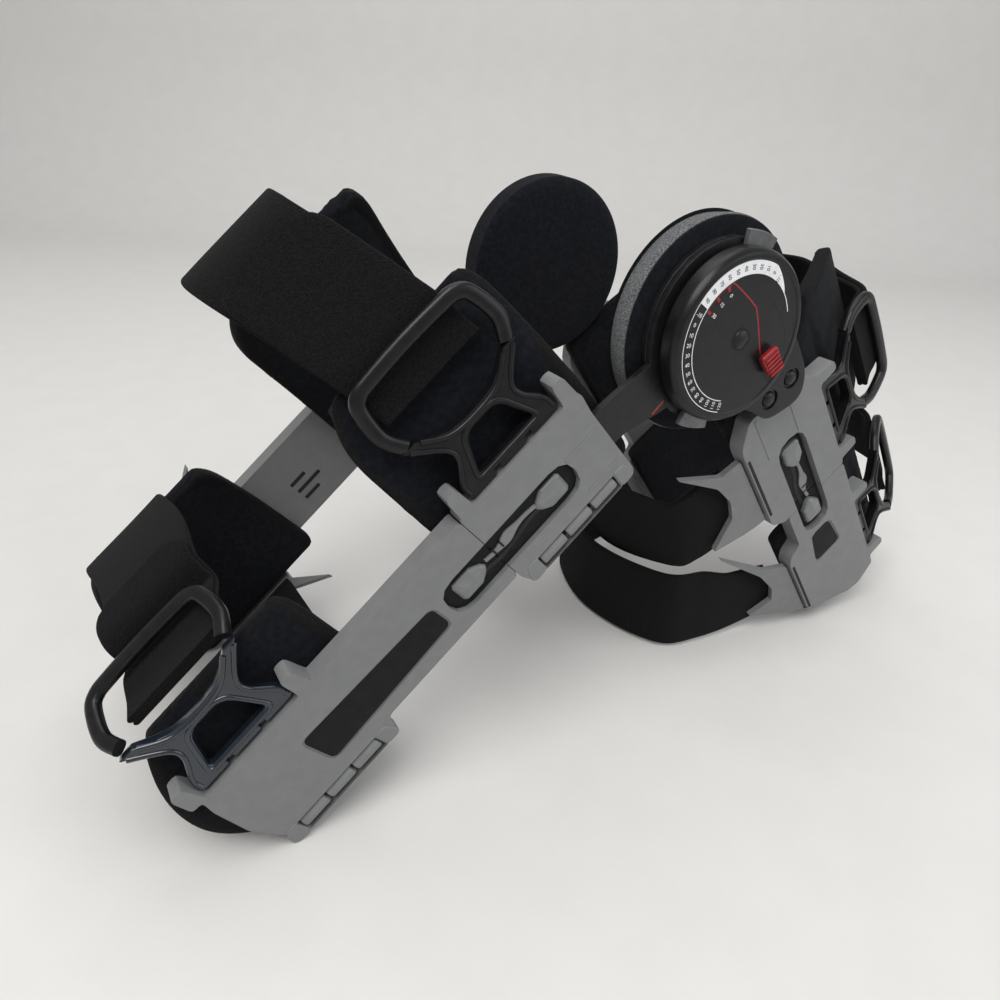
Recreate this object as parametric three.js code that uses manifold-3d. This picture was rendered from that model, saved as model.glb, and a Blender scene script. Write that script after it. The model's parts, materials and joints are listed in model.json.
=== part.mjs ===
// Hinged post-operative knee immobilizer, standing on its ends as an upside-down V.
// Millimetres, +Z up. Two equal hinged frames lie in planes of constant Y, one on each side of
// the leg. The thigh half runs down towards -X, the calf half down towards +X.
// Each half is drawn in arm coordinates: X runs from the hinge along the strut, Y is the depth
// inwards from the frame's outer face, and Z points to the front of the leg.
import * as THREE from 'three';
import { mergeVertices } from 'three/addons/utils/BufferGeometryUtils.js';
import Module from 'manifold-3d';

// Overall sizes
const frameWidth = 160;          // outer face to outer face of the two frames
const thighSlope = 41.4;         // degrees that the thigh half falls away from the horizontal
const hingeOffset = 12.8;        // the hinge axis lies this far behind the strut's middle line
const clearance = 0.3;           // gap between pieces that touch on the real brace

// Cuff plates
const plateThickness = 9;
const calfPlateInset = 2;        // the calf plates lie this much deeper than the thigh plates
const cuffHalfWidth = 28;        // strut line to the line where buckles and wings hook on
const earHeight = 40;            // strut line to the tip of the ears beside a buckle
const earLength = 8;
const hookLength = 52;           // length of a buckle's or a wing's hooked bar
const thighHook = 103.4;         // hinge to the middle of the upper cuff's hooked bars
const calfHook = 101.1;
const thighNose = 9.1;           // end of the hooked bar to the end of the upper plate
const calfNose = 12;
const barBack = 17;              // strut line to the back edge of the long bar
const barFront = 28;             // strut line to its front edge
const cornerRadius = 2.5;

// Struts
const strutThickness = 3;
const strutWidth = 20;
const strutNeck = 26;            // width of the strut where it leaves the hinge
const thighStrutDepth = 3.5;
const eyeRadius = 40.5;
const pinRadius = 5;

// Window, buttons and spring strip
const windowHalfWidth = 10;
const windowBefore = 13.4;       // hook middle to the window's end next to the hinge
const windowAfter = 64.6;        // hook middle to its far end
const upperButton = 1.3;         // hook middle to each button's middle
const lowerButton = 49.9;
const buttonLength = 17;
const buttonWidth = 12;
const buttonProud = 0.5;
const stripLift = 1.4;           // thickness of the spring strip
const stripWidth = 6;
const labelDepth = 0.6;

// Hinge
const dialRadius = 38;
const dialProud = 8;             // the dial's face stands this far out of the thigh plates
const dialBack = 0.2;
const stopThickness = 2.7;
const stopInner = 24;
const stopOuter = 36;
const stopTabReach = 44;
const stopTabHalfAngle = 12;
const stopHalfAngle = 20;
const extensionStopAngle = 75;   // where the stops' tabs stand, from +X towards +Z
const flexionStopAngle = -105;
const lugReach = 62;             // hinge to the end of the dial's lug
const lugHalfWidth = 15;
const lugThickness = 5;
const spacerRadius = 4;
const spacerAt = 46;
const spacerSplit = 15;
const lockLength = 12;
const lockWidth = 10;
const lockHeight = 4;
const lockAt = 21;               // hinge to the lock's middle
const lockRise = 8.8;            // the lock lies this far in front of the hinge
const lockSlot = 20;
const lockStem = 5;
const condyleRadius = 49;
const condyleThickness = 15;

// Buckles, loops and wings
const buckleThickness = 5;
const buckleLean = 14;           // degrees that buckles lean in over the leg
const buckleHeight = 34.6;
const loopHeight = 31;
const loopHalfWidth = 35;
const loopRail = 6.5;            // width of the loop's bar
const wingThickness = 3.5;
const wingLean = 14;
const wingReach = 34;

// Soft goods
const padThickness = 7;
const padBack = -26;
const padStraight = 14;          // the pads bend in over the leg beyond this height
const padCurl = 0.029;
const padCurlPower = 1.6;
const strapThickness = 3;
const strapWidth = 50;
const doubledThickness = 5.2;    // where the strap is folded back on itself
const doubledShare = 0.3;        // share of the strap's length that is doubled

// The four cuffs. nose lists the far end's corners: past the hook's end, across the strut line.
// archTop is the height of the front strap and archSkew its drift along the arm. backLean folds
// the back wings in over the leg, sweep 1 turns their fins away from the hinge, backShear is how
// far the back wing and strap slip towards the hinge for each mm of drop, and backTwist turns the
// strap upright as it drops.
const cuffs = [
  {
    name: 'thigh_proximal', arm: 'thigh', hook: thighHook, start: thighHook - 33.9, travel: 0, loopLean: 0,
    nose: [[6, -cuffHalfWidth], [thighNose, 8 - cuffHalfWidth], [thighNose, cuffHalfWidth]],
    padStart: 62, padEnd: 150, padTop: 84, farPadTop: 111, archTop: 139, archSkew: 15,
    backLean: 75, sweep: 1, backSag: -5 - cuffHalfWidth, backShear: 0, backTwist: 0,
  },
  {
    name: 'thigh_distal', arm: 'thigh', hook: 256.7, travel: 60, loopLean: 60,
    start: thighHook + hookLength / 2 + thighNose + clearance,
    nose: [[0, 1 - cuffHalfWidth], [5.5, 9 - cuffHalfWidth], [8.5, -2], [5.5, 20], [3, cuffHalfWidth]],
    padStart: 205, padEnd: 306, padTop: 54, farPadTop: 62, archTop: 75, archSkew: -14,
    backLean: 75, sweep: -1, backSag: -5 - cuffHalfWidth, backShear: 0, backTwist: 0,
  },
  {
    name: 'calf_proximal', arm: 'calf', hook: calfHook, start: calfHook - 45.1, travel: 0, loopLean: 0,
    nose: [[6, -cuffHalfWidth], [calfNose, 8 - cuffHalfWidth], [calfNose, cuffHalfWidth]],
    padStart: 52, padEnd: 142, padTop: 89, farPadTop: 84, archTop: 106, archSkew: 0,
    backLean: 14, sweep: -1, backSag: -82, backShear: -0.15, backTwist: 24,
  },
  {
    name: 'calf_distal', arm: 'calf', hook: 203.2, travel: 40, loopLean: 20,
    start: calfHook + hookLength / 2 + calfNose + clearance,
    nose: [[0, -cuffHalfWidth], [7, 12 - cuffHalfWidth], [20, 4], [22, 14], [16, cuffHalfWidth]],
    padStart: 160, padEnd: 246, padTop: 56, farPadTop: 56, archTop: 94, archSkew: 0,
    backLean: 14, sweep: -1, backSag: -112, backShear: 0.68, backTwist: 34,
  },
];
const arms = {
  thigh: { depth: 0, strutDepth: thighStrutDepth, strutEnd: 235, neckEnd: 63 },
  calf: {
    depth: calfPlateInset,
    strutDepth: thighStrutDepth + strutThickness + clearance,
    strutEnd: 225,
    neckEnd: 50,
  },
};

// Solid colours
const colours = {
  greyPlastic: { color: 0x6b6d6e, roughness: 0.6, metalness: 0 },
  blackPlastic: { color: 0x141517, roughness: 0.35, metalness: 0 },
  blackMetal: { color: 0x17181a, roughness: 0.45, metalness: 0.6 },
  greyInsert: { color: 0x8b8d8f, roughness: 0.5, metalness: 0 },
  smokyPlastic: { color: 0x55585b, roughness: 0.3, metalness: 0 },
  redPlastic: { color: 0xb01c1c, roughness: 0.4, metalness: 0 },
  fabric: { color: 0x16181c, roughness: 0.95, metalness: 0 },
  foam: { color: 0x5c6062, roughness: 0.95, metalness: 0 },
};

// Joining and cutting of closed meshes
const wasm = await Module();
wasm.setup();

function solidOf(geometry) {
  geometry.deleteAttribute('normal');
  geometry.deleteAttribute('uv');
  const merged = mergeVertices(geometry, 1e-3);
  return new wasm.Manifold(new wasm.Mesh({
    numProp: 3,
    vertProperties: new Float32Array(merged.attributes.position.array),
    triVerts: new Uint32Array(merged.index.array),
  }));
}

function geometryOf(solid, mirrored) {
  const mesh = solid.getMesh();
  const corners = new Float32Array(mesh.vertProperties);
  const faces = new Uint32Array(mesh.triVerts);
  if (mirrored) {
    for (let i = 1; i < corners.length; i += 3) corners[i] = -corners[i];
    for (let i = 0; i < faces.length; i += 3) [faces[i], faces[i + 1]] = [faces[i + 1], faces[i]];
  }
  const geometry = new THREE.BufferGeometry();
  geometry.setAttribute('position', new THREE.BufferAttribute(corners, 3));
  geometry.setIndex(new THREE.BufferAttribute(faces, 1));
  return geometry;
}

// A closed outline with rounded corners. Each point is [along, across, radius].
function outline(points, radius = cornerRadius) {
  const shape = new THREE.Shape();
  const corner = points.map(([x, y, r]) => ({ at: new THREE.Vector2(x, y), r: r ?? radius }));
  if (THREE.ShapeUtils.isClockWise(corner.map(({ at }) => at))) corner.reverse();
  corner.forEach(({ at, r }, i) => {
    const before = corner[(i + corner.length - 1) % corner.length].at;
    const after = corner[(i + 1) % corner.length].at;
    const cutIn = Math.min(r, 0.45 * at.distanceTo(before));
    const cutOut = Math.min(r, 0.45 * at.distanceTo(after));
    const from = at.clone().add(before.clone().sub(at).setLength(cutIn));
    const to = at.clone().add(after.clone().sub(at).setLength(cutOut));
    if (i === 0) shape.moveTo(from.x, from.y);
    else shape.lineTo(from.x, from.y);
    if (r > 0.05) shape.quadraticCurveTo(at.x, at.y, to.x, to.y);
  });
  shape.closePath();
  return shape;
}

// An outline in the arm's plane, thickened between two depths
function prism(shape, from, to, curveSegments = 2) {
  const settings = { depth: to - from, bevelEnabled: false, curveSegments };
  const geometry = new THREE.ExtrudeGeometry(shape, settings);
  return geometry.rotateX(Math.PI / 2).translate(0, to, 0);
}

function block(x0, x1, z0, z1, from, to) {
  return prism(outline([[x0, z0], [x1, z0], [x1, z1], [x0, z1]], 0), from, to);
}

function disc(x, z, radius, from, to, sides = 28) {
  const geometry = new THREE.CylinderGeometry(radius, radius, to - from, sides);
  return geometry.translate(x, (from + to) / 2, z);
}

// A strip that follows a smooth line of [depth, front] points and is swept along the arm
function band(path, thickness, start, end, steps) {
  const line = new THREE.SplineCurve(path.map(([depth, front]) => new THREE.Vector2(depth, front)));
  const sides = [[], []];
  for (let i = 0; i <= steps; i += 1) {
    const at = line.getPointAt(i / steps);
    const heading = line.getTangentAt(i / steps);
    const half = (typeof thickness === 'function' ? thickness(i / steps) : thickness) / 2;
    sides[0].push(new THREE.Vector2(at.x - heading.y * half, at.y + heading.x * half));
    sides[1].unshift(new THREE.Vector2(at.x + heading.y * half, at.y - heading.x * half));
  }
  const shape = new THREE.Shape([...sides[0], ...sides[1]]);
  const geometry = new THREE.ExtrudeGeometry(shape, { depth: end - start, bevelEnabled: false });
  const toArm = new THREE.Matrix4().makeBasis(
    new THREE.Vector3(0, 1, 0), new THREE.Vector3(0, 0, 1), new THREE.Vector3(1, 0, 0));
  return geometry.applyMatrix4(toArm).translate(start, 0, 0);
}

// Turns a flat piece inwards about a line along the arm at the given depth and front
function lean(geometry, depth, front, degrees) {
  geometry.translate(0, -depth, -front);
  geometry.rotateX(-THREE.MathUtils.degToRad(degrees));
  return geometry.translate(0, depth, front);
}

// Placing: the two arms are groups, and each frame's pieces stand at its own side of them
const brace = new THREE.Group();
const armGroups = { thigh: new THREE.Group(), calf: new THREE.Group() };
brace.add(armGroups.thigh, armGroups.calf);

function add(name, arm, side, solid, colour) {
  const inward = (arm === 'calf') === (side === 'near');
  const material = new THREE.MeshStandardMaterial(colours[colour]);
  const mesh = new THREE.Mesh(geometryOf(solid, !inward), material);
  mesh.name = name;
  mesh.position.y = (inward ? -1 : 1) * frameWidth / 2;
  mesh.position.z = hingeOffset;
  armGroups[arm].add(mesh);
}

// Plates
function plateOutline(cuff) {
  const first = cuff.hook - hookLength / 2;
  const last = cuff.hook + hookLength / 2;
  const lead = first - earLength - 2;
  const w = cuffHalfWidth;
  const hasBar = cuff.start < lead - 20;
  const back = hasBar
    ? [[cuff.start, -barBack], [lead, -barBack], [lead + 3, -w + 3], [lead + 9, -w]]
    : [[cuff.start, -w + 10], [first - earLength, -w + 1], [first - earLength / 2, -w]];
  const front = hasBar
    ? [[lead + 1, barFront], [cuff.start, barFront]]
    : [[first - earLength - 1, w - 2], [cuff.start, w - 12]];
  const ears = [
    [last + earLength, w], [last + earLength - 1, earHeight], [last + 1, earHeight], [last + clearance, w],
    [first - clearance, w], [first - 1, earHeight], [first - earLength + 1, earHeight],
    [first - earLength, w],
  ];
  const nose = cuff.nose.map(([past, across]) => [last + past, across]);
  return outline([...back, ...nose, ...ears, ...front], 2);
}

function windowOutline(hook) {
  const a = hook - windowBefore;
  const b = hook + windowAfter;
  const w = windowHalfWidth;
  return outline([[a, -w], [b, -w], [b, w], [a, w]], w);
}

function plate(cuff, windowHook, wings) {
  const arm = arms[cuff.arm];
  const outer = arm.depth;
  let solid = solidOf(prism(plateOutline(cuff), outer, outer + plateThickness));
  const slotEdge = strutWidth / 2 + clearance;
  const slot = block(cuff.start - 40, arm.strutEnd + clearance, -slotEdge, slotEdge,
    arm.strutDepth - clearance, arm.strutDepth + strutThickness + clearance);
  solid = solid.subtract(solidOf(slot));
  solid = solid.subtract(solidOf(prism(windowOutline(windowHook), outer - 1, arm.strutDepth, 3)));
  if (cuff.travel > 0) {
    const labelStart = windowHook + windowAfter + 4;
    const label = [[labelStart, -8], [cuff.hook - 8, -11], [cuff.hook - 8, 11], [labelStart, 8]];
    solid = solid.subtract(solidOf(prism(outline(label, 4), outer - 1, outer + labelDepth)));
  }
  return wings.reduce((joined, wingSolid) => joined.add(wingSolid), solid);
}

// Struts, with the eye that turns in the hinge
function strut(arm) {
  const { strutDepth, strutEnd, neckEnd } = arms[arm];
  const from = strutDepth;
  const to = strutDepth + strutThickness;
  const half = strutWidth / 2;
  const neck = strutNeck / 2;
  const shape = outline([
    [8, -hingeOffset - neck], [40, -hingeOffset / 2 - neck], [neckEnd, -half], [strutEnd, -half],
    [strutEnd, half], [neckEnd, half], [40, -hingeOffset / 2 + neck], [8, -hingeOffset + neck],
  ], 5);
  return solidOf(prism(shape, from, to))
    .add(solidOf(disc(0, -hingeOffset, eyeRadius, from, to)))
    .subtract(solidOf(disc(0, -hingeOffset, pinRadius + clearance, from - 1, to + 1, 14)));
}

// Window insert: the button next to the hinge and the wavy spring strip
function buttonOutline(middle, towards) {
  const l = buttonLength / 2;
  const w = buttonWidth / 2;
  return outline([
    [middle - towards * l, -w], [middle + towards * l * 0.3, -w], [middle + towards * l, 0],
    [middle + towards * l * 0.3, w], [middle - towards * l, w],
  ], 2);
}

function windowInsert(arm, hook) {
  const base = arms[arm].strutDepth - clearance;
  const start = hook + upperButton + buttonLength * 0.2;
  const end = hook + lowerButton - buttonLength / 2 - 1.5;
  const waves = 8;
  const edge = (side) => Array.from({ length: waves + 1 }, (_, i) => {
    const along = start + (end - start) * (i / waves);
    return [along, side * (stripWidth / 2) + (i % 2 ? 1.3 : -1.3), 0];
  });
  const strip = prism(outline([...edge(-1), ...edge(1).reverse()]), base - stripLift, base);
  const button = prism(buttonOutline(hook + upperButton, 1), arms[arm].depth - buttonProud, base);
  return solidOf(button).add(solidOf(strip));
}

// Hinge
function wedge(angle, half, inner, outer, from, to) {
  const shape = new THREE.Shape();
  const a = THREE.MathUtils.degToRad(angle - half);
  const b = THREE.MathUtils.degToRad(angle + half);
  shape.absarc(0, 0, outer, a, b, false);
  shape.absarc(0, 0, inner, b, a, true);
  return prism(shape, from, to, 6).translate(0, 0, -hingeOffset);
}

function dialCover() {
  const lug = outline([
    [0, -hingeOffset - 30], [spacerAt, -lugHalfWidth - 2], [lugReach - 8, -lugHalfWidth + 1],
    [lugReach, lugHalfWidth - 6], [spacerAt, lugHalfWidth + 2], [0, -hingeOffset + 30],
  ], 6);
  let solid = solidOf(disc(0, -hingeOffset, dialRadius, -dialProud, dialBack, 36))
    .add(solidOf(prism(lug, dialBack - lugThickness, dialBack, 3)))
    .add(solidOf(disc(0, -hingeOffset, pinRadius, 0, arms.calf.strutDepth + strutThickness, 12)))
    .add(solidOf(disc(0, -hingeOffset, pinRadius, -dialProud - 1.4, 0, 12)));
  for (const side of [-1, 1]) {
    const across = side * spacerSplit / 2;
    const head = disc(spacerAt, across, spacerRadius + 0.8, dialBack - lugThickness - 1, dialBack - 3.4, 12);
    const spacer = disc(spacerAt, across, spacerRadius, 0, arms.calf.strutDepth - clearance, 10);
    solid = solid.subtract(solidOf(head)).add(solidOf(spacer));
  }
  const front = lockRise - hingeOffset;
  const slot = block(lockAt - lockLength / 2 + 2, lockAt - lockLength / 2 + 2 + lockSlot - 4,
    front - lockStem / 2 - clearance, front + lockStem / 2 + clearance, -dialProud - 1, -dialProud + 3);
  return solid.subtract(solidOf(slot));
}

function lock() {
  const front = lockRise - hingeOffset;
  const face = -dialProud - clearance;
  const a = lockAt - lockLength / 2;
  const b = lockAt + lockLength / 2;
  const head = prism(outline([
    [a, front - lockWidth / 2], [b, front - lockWidth / 2 + 1.5], [b, front + lockWidth / 2 - 1.5],
    [a, front + lockWidth / 2],
  ], 2), face - lockHeight, face);
  const stem = block(a + 2 + clearance, b - 2, front - lockStem / 2, front + lockStem / 2, face - 1, face + 2.5);
  return solidOf(head).add(solidOf(stem));
}

function stop(angle) {
  const from = dialBack + clearance;
  return solidOf(wedge(angle, stopHalfAngle, stopInner, stopOuter, from, from + stopThickness))
    .add(solidOf(wedge(angle, stopTabHalfAngle, stopOuter - 2, stopTabReach, from, from + stopThickness)));
}

function condylePad() {
  const from = arms.calf.strutDepth + strutThickness + clearance;
  const profile = [
    [0, from], [condyleRadius - 1, from], [condyleRadius, from + 2],
    [condyleRadius - 3, from + condyleThickness], [0, from + condyleThickness],
  ].map(([r, depth]) => new THREE.Vector2(r, depth));
  return solidOf(new THREE.LatheGeometry(profile, 28).translate(0, 0, -hingeOffset));
}

// The gap that keeps a flat piece of a given thickness clear of its plate once it leans
function leaningRoot(thickness, degrees) {
  return clearance + Math.tan(THREE.MathUtils.degToRad(degrees)) * thickness / 2 + 0.1;
}

// Buckle base, an X with one opening, and the three-sided loop on its arms that carries the strap
function buckleBase(cuff) {
  const h = cuff.hook;
  const z = cuffHalfWidth;
  const half = hookLength / 2 - clearance;
  const root = z + leaningRoot(buckleThickness, buckleLean);
  const top = z + buckleHeight;
  const from = arms[cuff.arm].depth + 1.5;
  const w = loopHalfWidth;
  const body = outline([
    [h - half, root, 2], [h - half, z + 7, 4], [h - 16, z + 17, 5], [h - 17, z + 23, 4],
    [h - w + 4, top, 0], [h - w + 4 + loopRail, top, 0], [h - 12, z + 26.5, 8],
    [h + 12, z + 26.5, 8], [h + w - 4 - loopRail, top, 0], [h + w - 4, top, 0],
    [h + 17, z + 23, 4], [h + 16, z + 17, 5], [h + half, z + 7, 4], [h + half, root, 2],
  ]);
  const hole = outline([
    [h - 16, z + 6], [h - 9.5, z + 20], [h - 6, z + 22], [h + 6, z + 22], [h + 9.5, z + 20],
    [h + 16, z + 6],
  ], 2);
  body.holes.push(hole);
  let solid = solidOf(prism(body, from, from + buckleThickness));
  for (const side of [-1, 1]) {
    const notch = block(h + side * 9 - 1.6, h + side * 9 + 1.6, z - 1, z + 3.5, from - 1, from + 2.5);
    solid = solid.subtract(solidOf(notch));
  }
  return solid;
}

function leanSolid(solid, front, depth, degrees) {
  const geometry = geometryOf(solid, false);
  return solidOf(lean(geometry, depth, front, degrees));
}

function loop(cuff) {
  const h = cuff.hook;
  const w = loopHalfWidth;
  const base = cuffHalfWidth + buckleHeight + clearance;
  const top = base + loopHeight;
  const from = arms[cuff.arm].depth + 1.5;
  const r = loopRail;
  const frame = outline([
    [h - w + 4, base, 0], [h - w, base + 9, 5], [h - w + 2, top - 7, 6], [h - w + 11, top, 6],
    [h + w - 11, top, 6], [h + w - 2, top - 7, 6], [h + w, base + 9, 5], [h + w - 4, base, 0],
    [h + w - 4 - r, base, 0], [h + w - r, base + 10, 4], [h + w - 2 - r, top - 10, 4],
    [h + w - 8 - r, top - r, 4], [h - w + 8 + r, top - r, 4], [h - w + 2 + r, top - 10, 4],
    [h - w + r, base + 10, 4], [h - w + 4 + r, base, 0],
  ]);
  return solidOf(prism(frame, from, from + buckleThickness));
}

const buckleDepth = (cuff) => arms[cuff.arm].depth + 4;

function placedBuckle(cuff) {
  return leanSolid(buckleBase(cuff), cuffHalfWidth, buckleDepth(cuff), buckleLean);
}

function placedLoop(cuff) {
  const hinged = leanSolid(loop(cuff), cuffHalfWidth + buckleHeight + clearance,
    arms[cuff.arm].depth + 1.5 + buckleThickness, cuff.loopLean);
  return leanSolid(hinged, cuffHalfWidth, buckleDepth(cuff), buckleLean);
}

// Strap wing with two pointed fins; across is 1 at the front edge and -1 at the back edge
function wing(cuff, across, joined) {
  const degrees = across > 0 ? wingLean : cuff.backLean;
  const sweep = across > 0 ? -1 : cuff.sweep;
  const shear = across > 0 ? 0 : cuff.backShear;
  const half = hookLength / 2 - clearance;
  const from = arms[cuff.arm].depth + 2;
  const root = joined ? -3 : leaningRoot(wingThickness, degrees);
  const fins = outline([
    [-half, root], [-half, 13.2], [-half - 19, wingReach - 1], [-20, 17], [-5, 14],
    [7, 17], [20, wingReach], [half - 1, 15], [half, 7], [half, root],
  ].map(([along, out]) => [
    cuff.hook - sweep * along - shear * Math.max(0, out), across * (cuffHalfWidth + out),
  ]), 1.5);
  const flat = prism(fins, from, from + wingThickness);
  return solidOf(lean(flat, from + wingThickness / 2, across * cuffHalfWidth, across * degrees));
}

// Pads: a curved sheet under each plate, trimmed to a round-cornered outline
function padDepth(cuff, height) {
  const flat = arms[cuff.arm].depth + plateThickness + clearance + padThickness / 2;
  return flat + padCurl * Math.max(0, height - padStraight) ** padCurlPower;
}

function padPath(cuff, top) {
  const shares = [0, 0.15, 0.3, 0.42, 0.56, 0.7, 0.85, 1];
  const heights = shares.map((share) => padBack + (top - padBack) * share);
  return heights.map((height) => [padDepth(cuff, height), height]);
}

function pad(cuff, side) {
  const top = side === 'near' ? cuff.padTop : cuff.farPadTop;
  const path = padPath(cuff, top);
  const { padStart: a, padEnd: b } = cuff;
  const sheet = solidOf(band(path, padThickness, a - 30, b + 30, 10));
  const flap = cuff.name === 'calf_proximal'
    ? [[a, 36, 6], [a - 14, 50, 6], [a - 6, top + 4, 12], [a + 6, top + 4, 12]]
    : [[a, top - 4, 14], [a + 10, top + 4, 12]];
  const nose = cuff.name === 'thigh_distal'
    ? [[b - 15, padBack - 2, 12], [b, 2, 14], [b - 6, top - 22, 14], [b - 26, top + 4, 16]]
    : [[b, padBack - 2, 10], [b, top - 14, 14], [b - 14, top + 4, 10]];
  const trim = outline([[a, padBack - 2, 10], ...nose, ...flap.reverse()], 10);
  return sheet.intersect(solidOf(prism(trim, -20, frameWidth, 3)));
}

// Front strap: from the near loop, over the front of the leg, to the far wing
function frontStrap(cuff) {
  const turn = THREE.MathUtils.degToRad(buckleLean);
  const fold = THREE.MathUtils.degToRad(buckleLean + cuff.loopLean);
  const reach = buckleHeight + clearance;
  const from = arms[cuff.arm].depth + 4;
  const loopDepth = from + Math.sin(turn) * reach;
  const loopFront = cuffHalfWidth + Math.cos(turn) * reach;
  const inLoop = (out, under) => [
    loopDepth + Math.sin(fold) * out + Math.cos(fold) * under,
    loopFront + Math.cos(fold) * out - Math.sin(fold) * under,
  ];
  const far = frameWidth - arms[cuff.arm].depth;
  const top = cuff.archTop;
  const low = cuffHalfWidth + 32;
  const path = [
    inLoop(10, 3.65), inLoop(18, 5.6), inLoop(27, 6.3), inLoop(36, 9.3),
    [frameWidth * 0.36, loopFront + (top - loopFront) * 0.86], [frameWidth * 0.52, top],
    [frameWidth * 0.74, top - (top - low) * 0.2], [frameWidth * 0.87, low + (top - low) * 0.3],
    [far - 17.5, low], [far - 13.2, cuffHalfWidth + 18], [far - 10.8, cuffHalfWidth + 9],
  ];
  const thick = (share) => (share < doubledShare ? doubledThickness : strapThickness);
  const edge = cuff.hook - strapWidth / 2;
  const geometry = band(path, thick, edge, edge + strapWidth, 20);
  const places = geometry.attributes.position;
  for (let i = 0; i < places.count; i += 1) {
    const across = Math.min(Math.max(places.getY(i) / frameWidth, 0), 1);
    places.setX(i, places.getX(i) + cuff.archSkew * Math.sin(Math.PI * across) ** 2);
  }
  return solidOf(geometry);
}

// Back strap: from wing to wing behind the leg. On the calf it hangs slack, and slips towards
// the hinge as it drops. On the thigh it lies straight across, inside the folded wings.
function backStrap(cuff) {
  const depth = arms[cuff.arm].depth;
  const sag = cuff.backSag;
  const slack = sag < -60;
  const w = cuffHalfWidth;
  const near = slack
    ? [[depth + 10.6, -w - 10], [depth + 13.4, -w - 20], [depth + 19, (sag - w - 20) / 2],
      [depth + 30, sag * 0.9]]
    : [[depth + 18, -w], [depth + 30, (sag - w) / 2]];
  const far = near.slice().reverse().map(([d, t]) => [frameWidth - d, t]);
  const path = [...near, [frameWidth / 2, sag], ...far];
  const { hook } = cuff;
  const geometry = band(path, strapThickness, hook - strapWidth / 2, hook + strapWidth / 2, 18);
  const places = geometry.attributes.position;
  for (let i = 0; i < places.count; i += 1) {
    const drop = -w - places.getZ(i);
    const across = places.getX(i) - hook;
    const full = Math.min(Math.max((drop - 26) / 36, 0), 1);
    const twist = THREE.MathUtils.degToRad(cuff.backTwist) * full * full * (3 - 2 * full);
    places.setX(i, hook + across * Math.cos(twist) - cuff.backShear * drop);
    places.setZ(i, places.getZ(i) - across * Math.sin(twist));
  }
  return solidOf(geometry);
}

// Assembly
const hookOf = { thigh: cuffs[0].hook, calf: cuffs[2].hook };
for (const side of ['near', 'far']) {
  for (const cuff of cuffs) {
    const backJoined = cuff.arm === 'thigh';
    const frontJoined = side === 'far' && cuff.arm === 'calf';
    const joined = [];
    if (backJoined) joined.push(wing(cuff, -1, true));
    else add(`${cuff.name}_back_wing_${side}`, cuff.arm, side, wing(cuff, -1, false), 'greyPlastic');
    if (frontJoined) joined.push(wing(cuff, 1, true));
    else if (side === 'far') {
      add(`${cuff.name}_front_wing_far`, cuff.arm, side, wing(cuff, 1, false), 'greyPlastic');
    }
    add(`${cuff.name}_plate_${side}`, cuff.arm, side, plate(cuff, hookOf[cuff.arm], joined), 'greyPlastic');
    add(`${cuff.name}_pad_${side}`, cuff.arm, side, pad(cuff, side), 'fabric');
  }
  for (const arm of ['thigh', 'calf']) {
    const hook = hookOf[arm];
    const base = arms[arm].strutDepth - clearance;
    const face = arms[arm].depth - buttonProud;
    const button = solidOf(prism(buttonOutline(hook + lowerButton, -1), face, base));
    add(`${arm}_strut_${side}`, arm, side, strut(arm), 'blackMetal');
    add(`${arm}_window_insert_${side}`, arm, side, windowInsert(arm, hook), 'greyInsert');
    add(`${arm}_length_button_${side}`, arm, side, button, 'greyInsert');
  }
  add(`dial_cover_${side}`, 'calf', side, dialCover(), 'blackPlastic');
  add(`dial_lock_${side}`, 'calf', side, lock(), 'redPlastic');
  add(`condyle_pad_${side}`, 'calf', side, condylePad(), 'foam');
}
for (const cuff of cuffs) {
  add(`${cuff.name}_buckle`, cuff.arm, 'near', placedBuckle(cuff), 'blackPlastic');
  add(`${cuff.name}_loop`, cuff.arm, 'near', placedLoop(cuff), 'blackPlastic');
  add(`${cuff.name}_front_strap`, cuff.arm, 'near', frontStrap(cuff), 'fabric');
  add(`${cuff.name}_back_strap`, cuff.arm, 'near', backStrap(cuff), 'fabric');
}

// Standing: the thigh half falls at its slope, and the calf half at the slope that reaches the floor
function turnArm(arm, degrees) {
  const angle = THREE.MathUtils.degToRad(degrees);
  const way = arm === 'thigh' ? -1 : 1;
  const along = new THREE.Vector3(way * Math.cos(angle), 0, -Math.sin(angle));
  const front = new THREE.Vector3(way * Math.sin(angle), 0, Math.cos(angle));
  const turned = new THREE.Matrix4().makeBasis(along, new THREE.Vector3(0, way, 0), front);
  armGroups[arm].quaternion.setFromRotationMatrix(turned);
  armGroups[arm].updateMatrixWorld(true);
  return new THREE.Box3().setFromObject(armGroups[arm], true).min.z;
}

function solveCalfSlope(floor) {
  let [low, high] = [20, 80];
  for (let i = 0; i < 18; i += 1) {
    const middle = (low + high) / 2;
    if (turnArm('calf', middle) > floor) low = middle;
    else high = middle;
  }
  return (low + high) / 2;
}

const floor = turnArm('thigh', thighSlope);
const calfSlope = solveCalfSlope(floor);
for (const side of ['near', 'far']) {
  for (const [name, angle] of [['extension', extensionStopAngle], ['flexion', flexionStopAngle]]) {
    add(`${name}_stop_${side}`, 'calf', side, stop(angle + calfSlope), 'smokyPlastic');
  }
}
turnArm('calf', calfSlope);
brace.updateMatrixWorld(true);
const bounds = new THREE.Box3().setFromObject(brace, true);
const middle = bounds.getCenter(new THREE.Vector3());
brace.position.set(-middle.x, -middle.y, -bounds.min.z);

export default brace;
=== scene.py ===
"""A hinged knee immobilizer that stands on its ends as an upside-down V.

Shapes are drawn in arm millimetres: s runs from the hinge along a strut, d is the depth inwards
from the frame's outer face, and t points to the front of the leg from the strut's middle line.
"""

import json
import math

import bmesh
import bpy
import numpy as np
from mathutils import Matrix, Vector, noise

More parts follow.
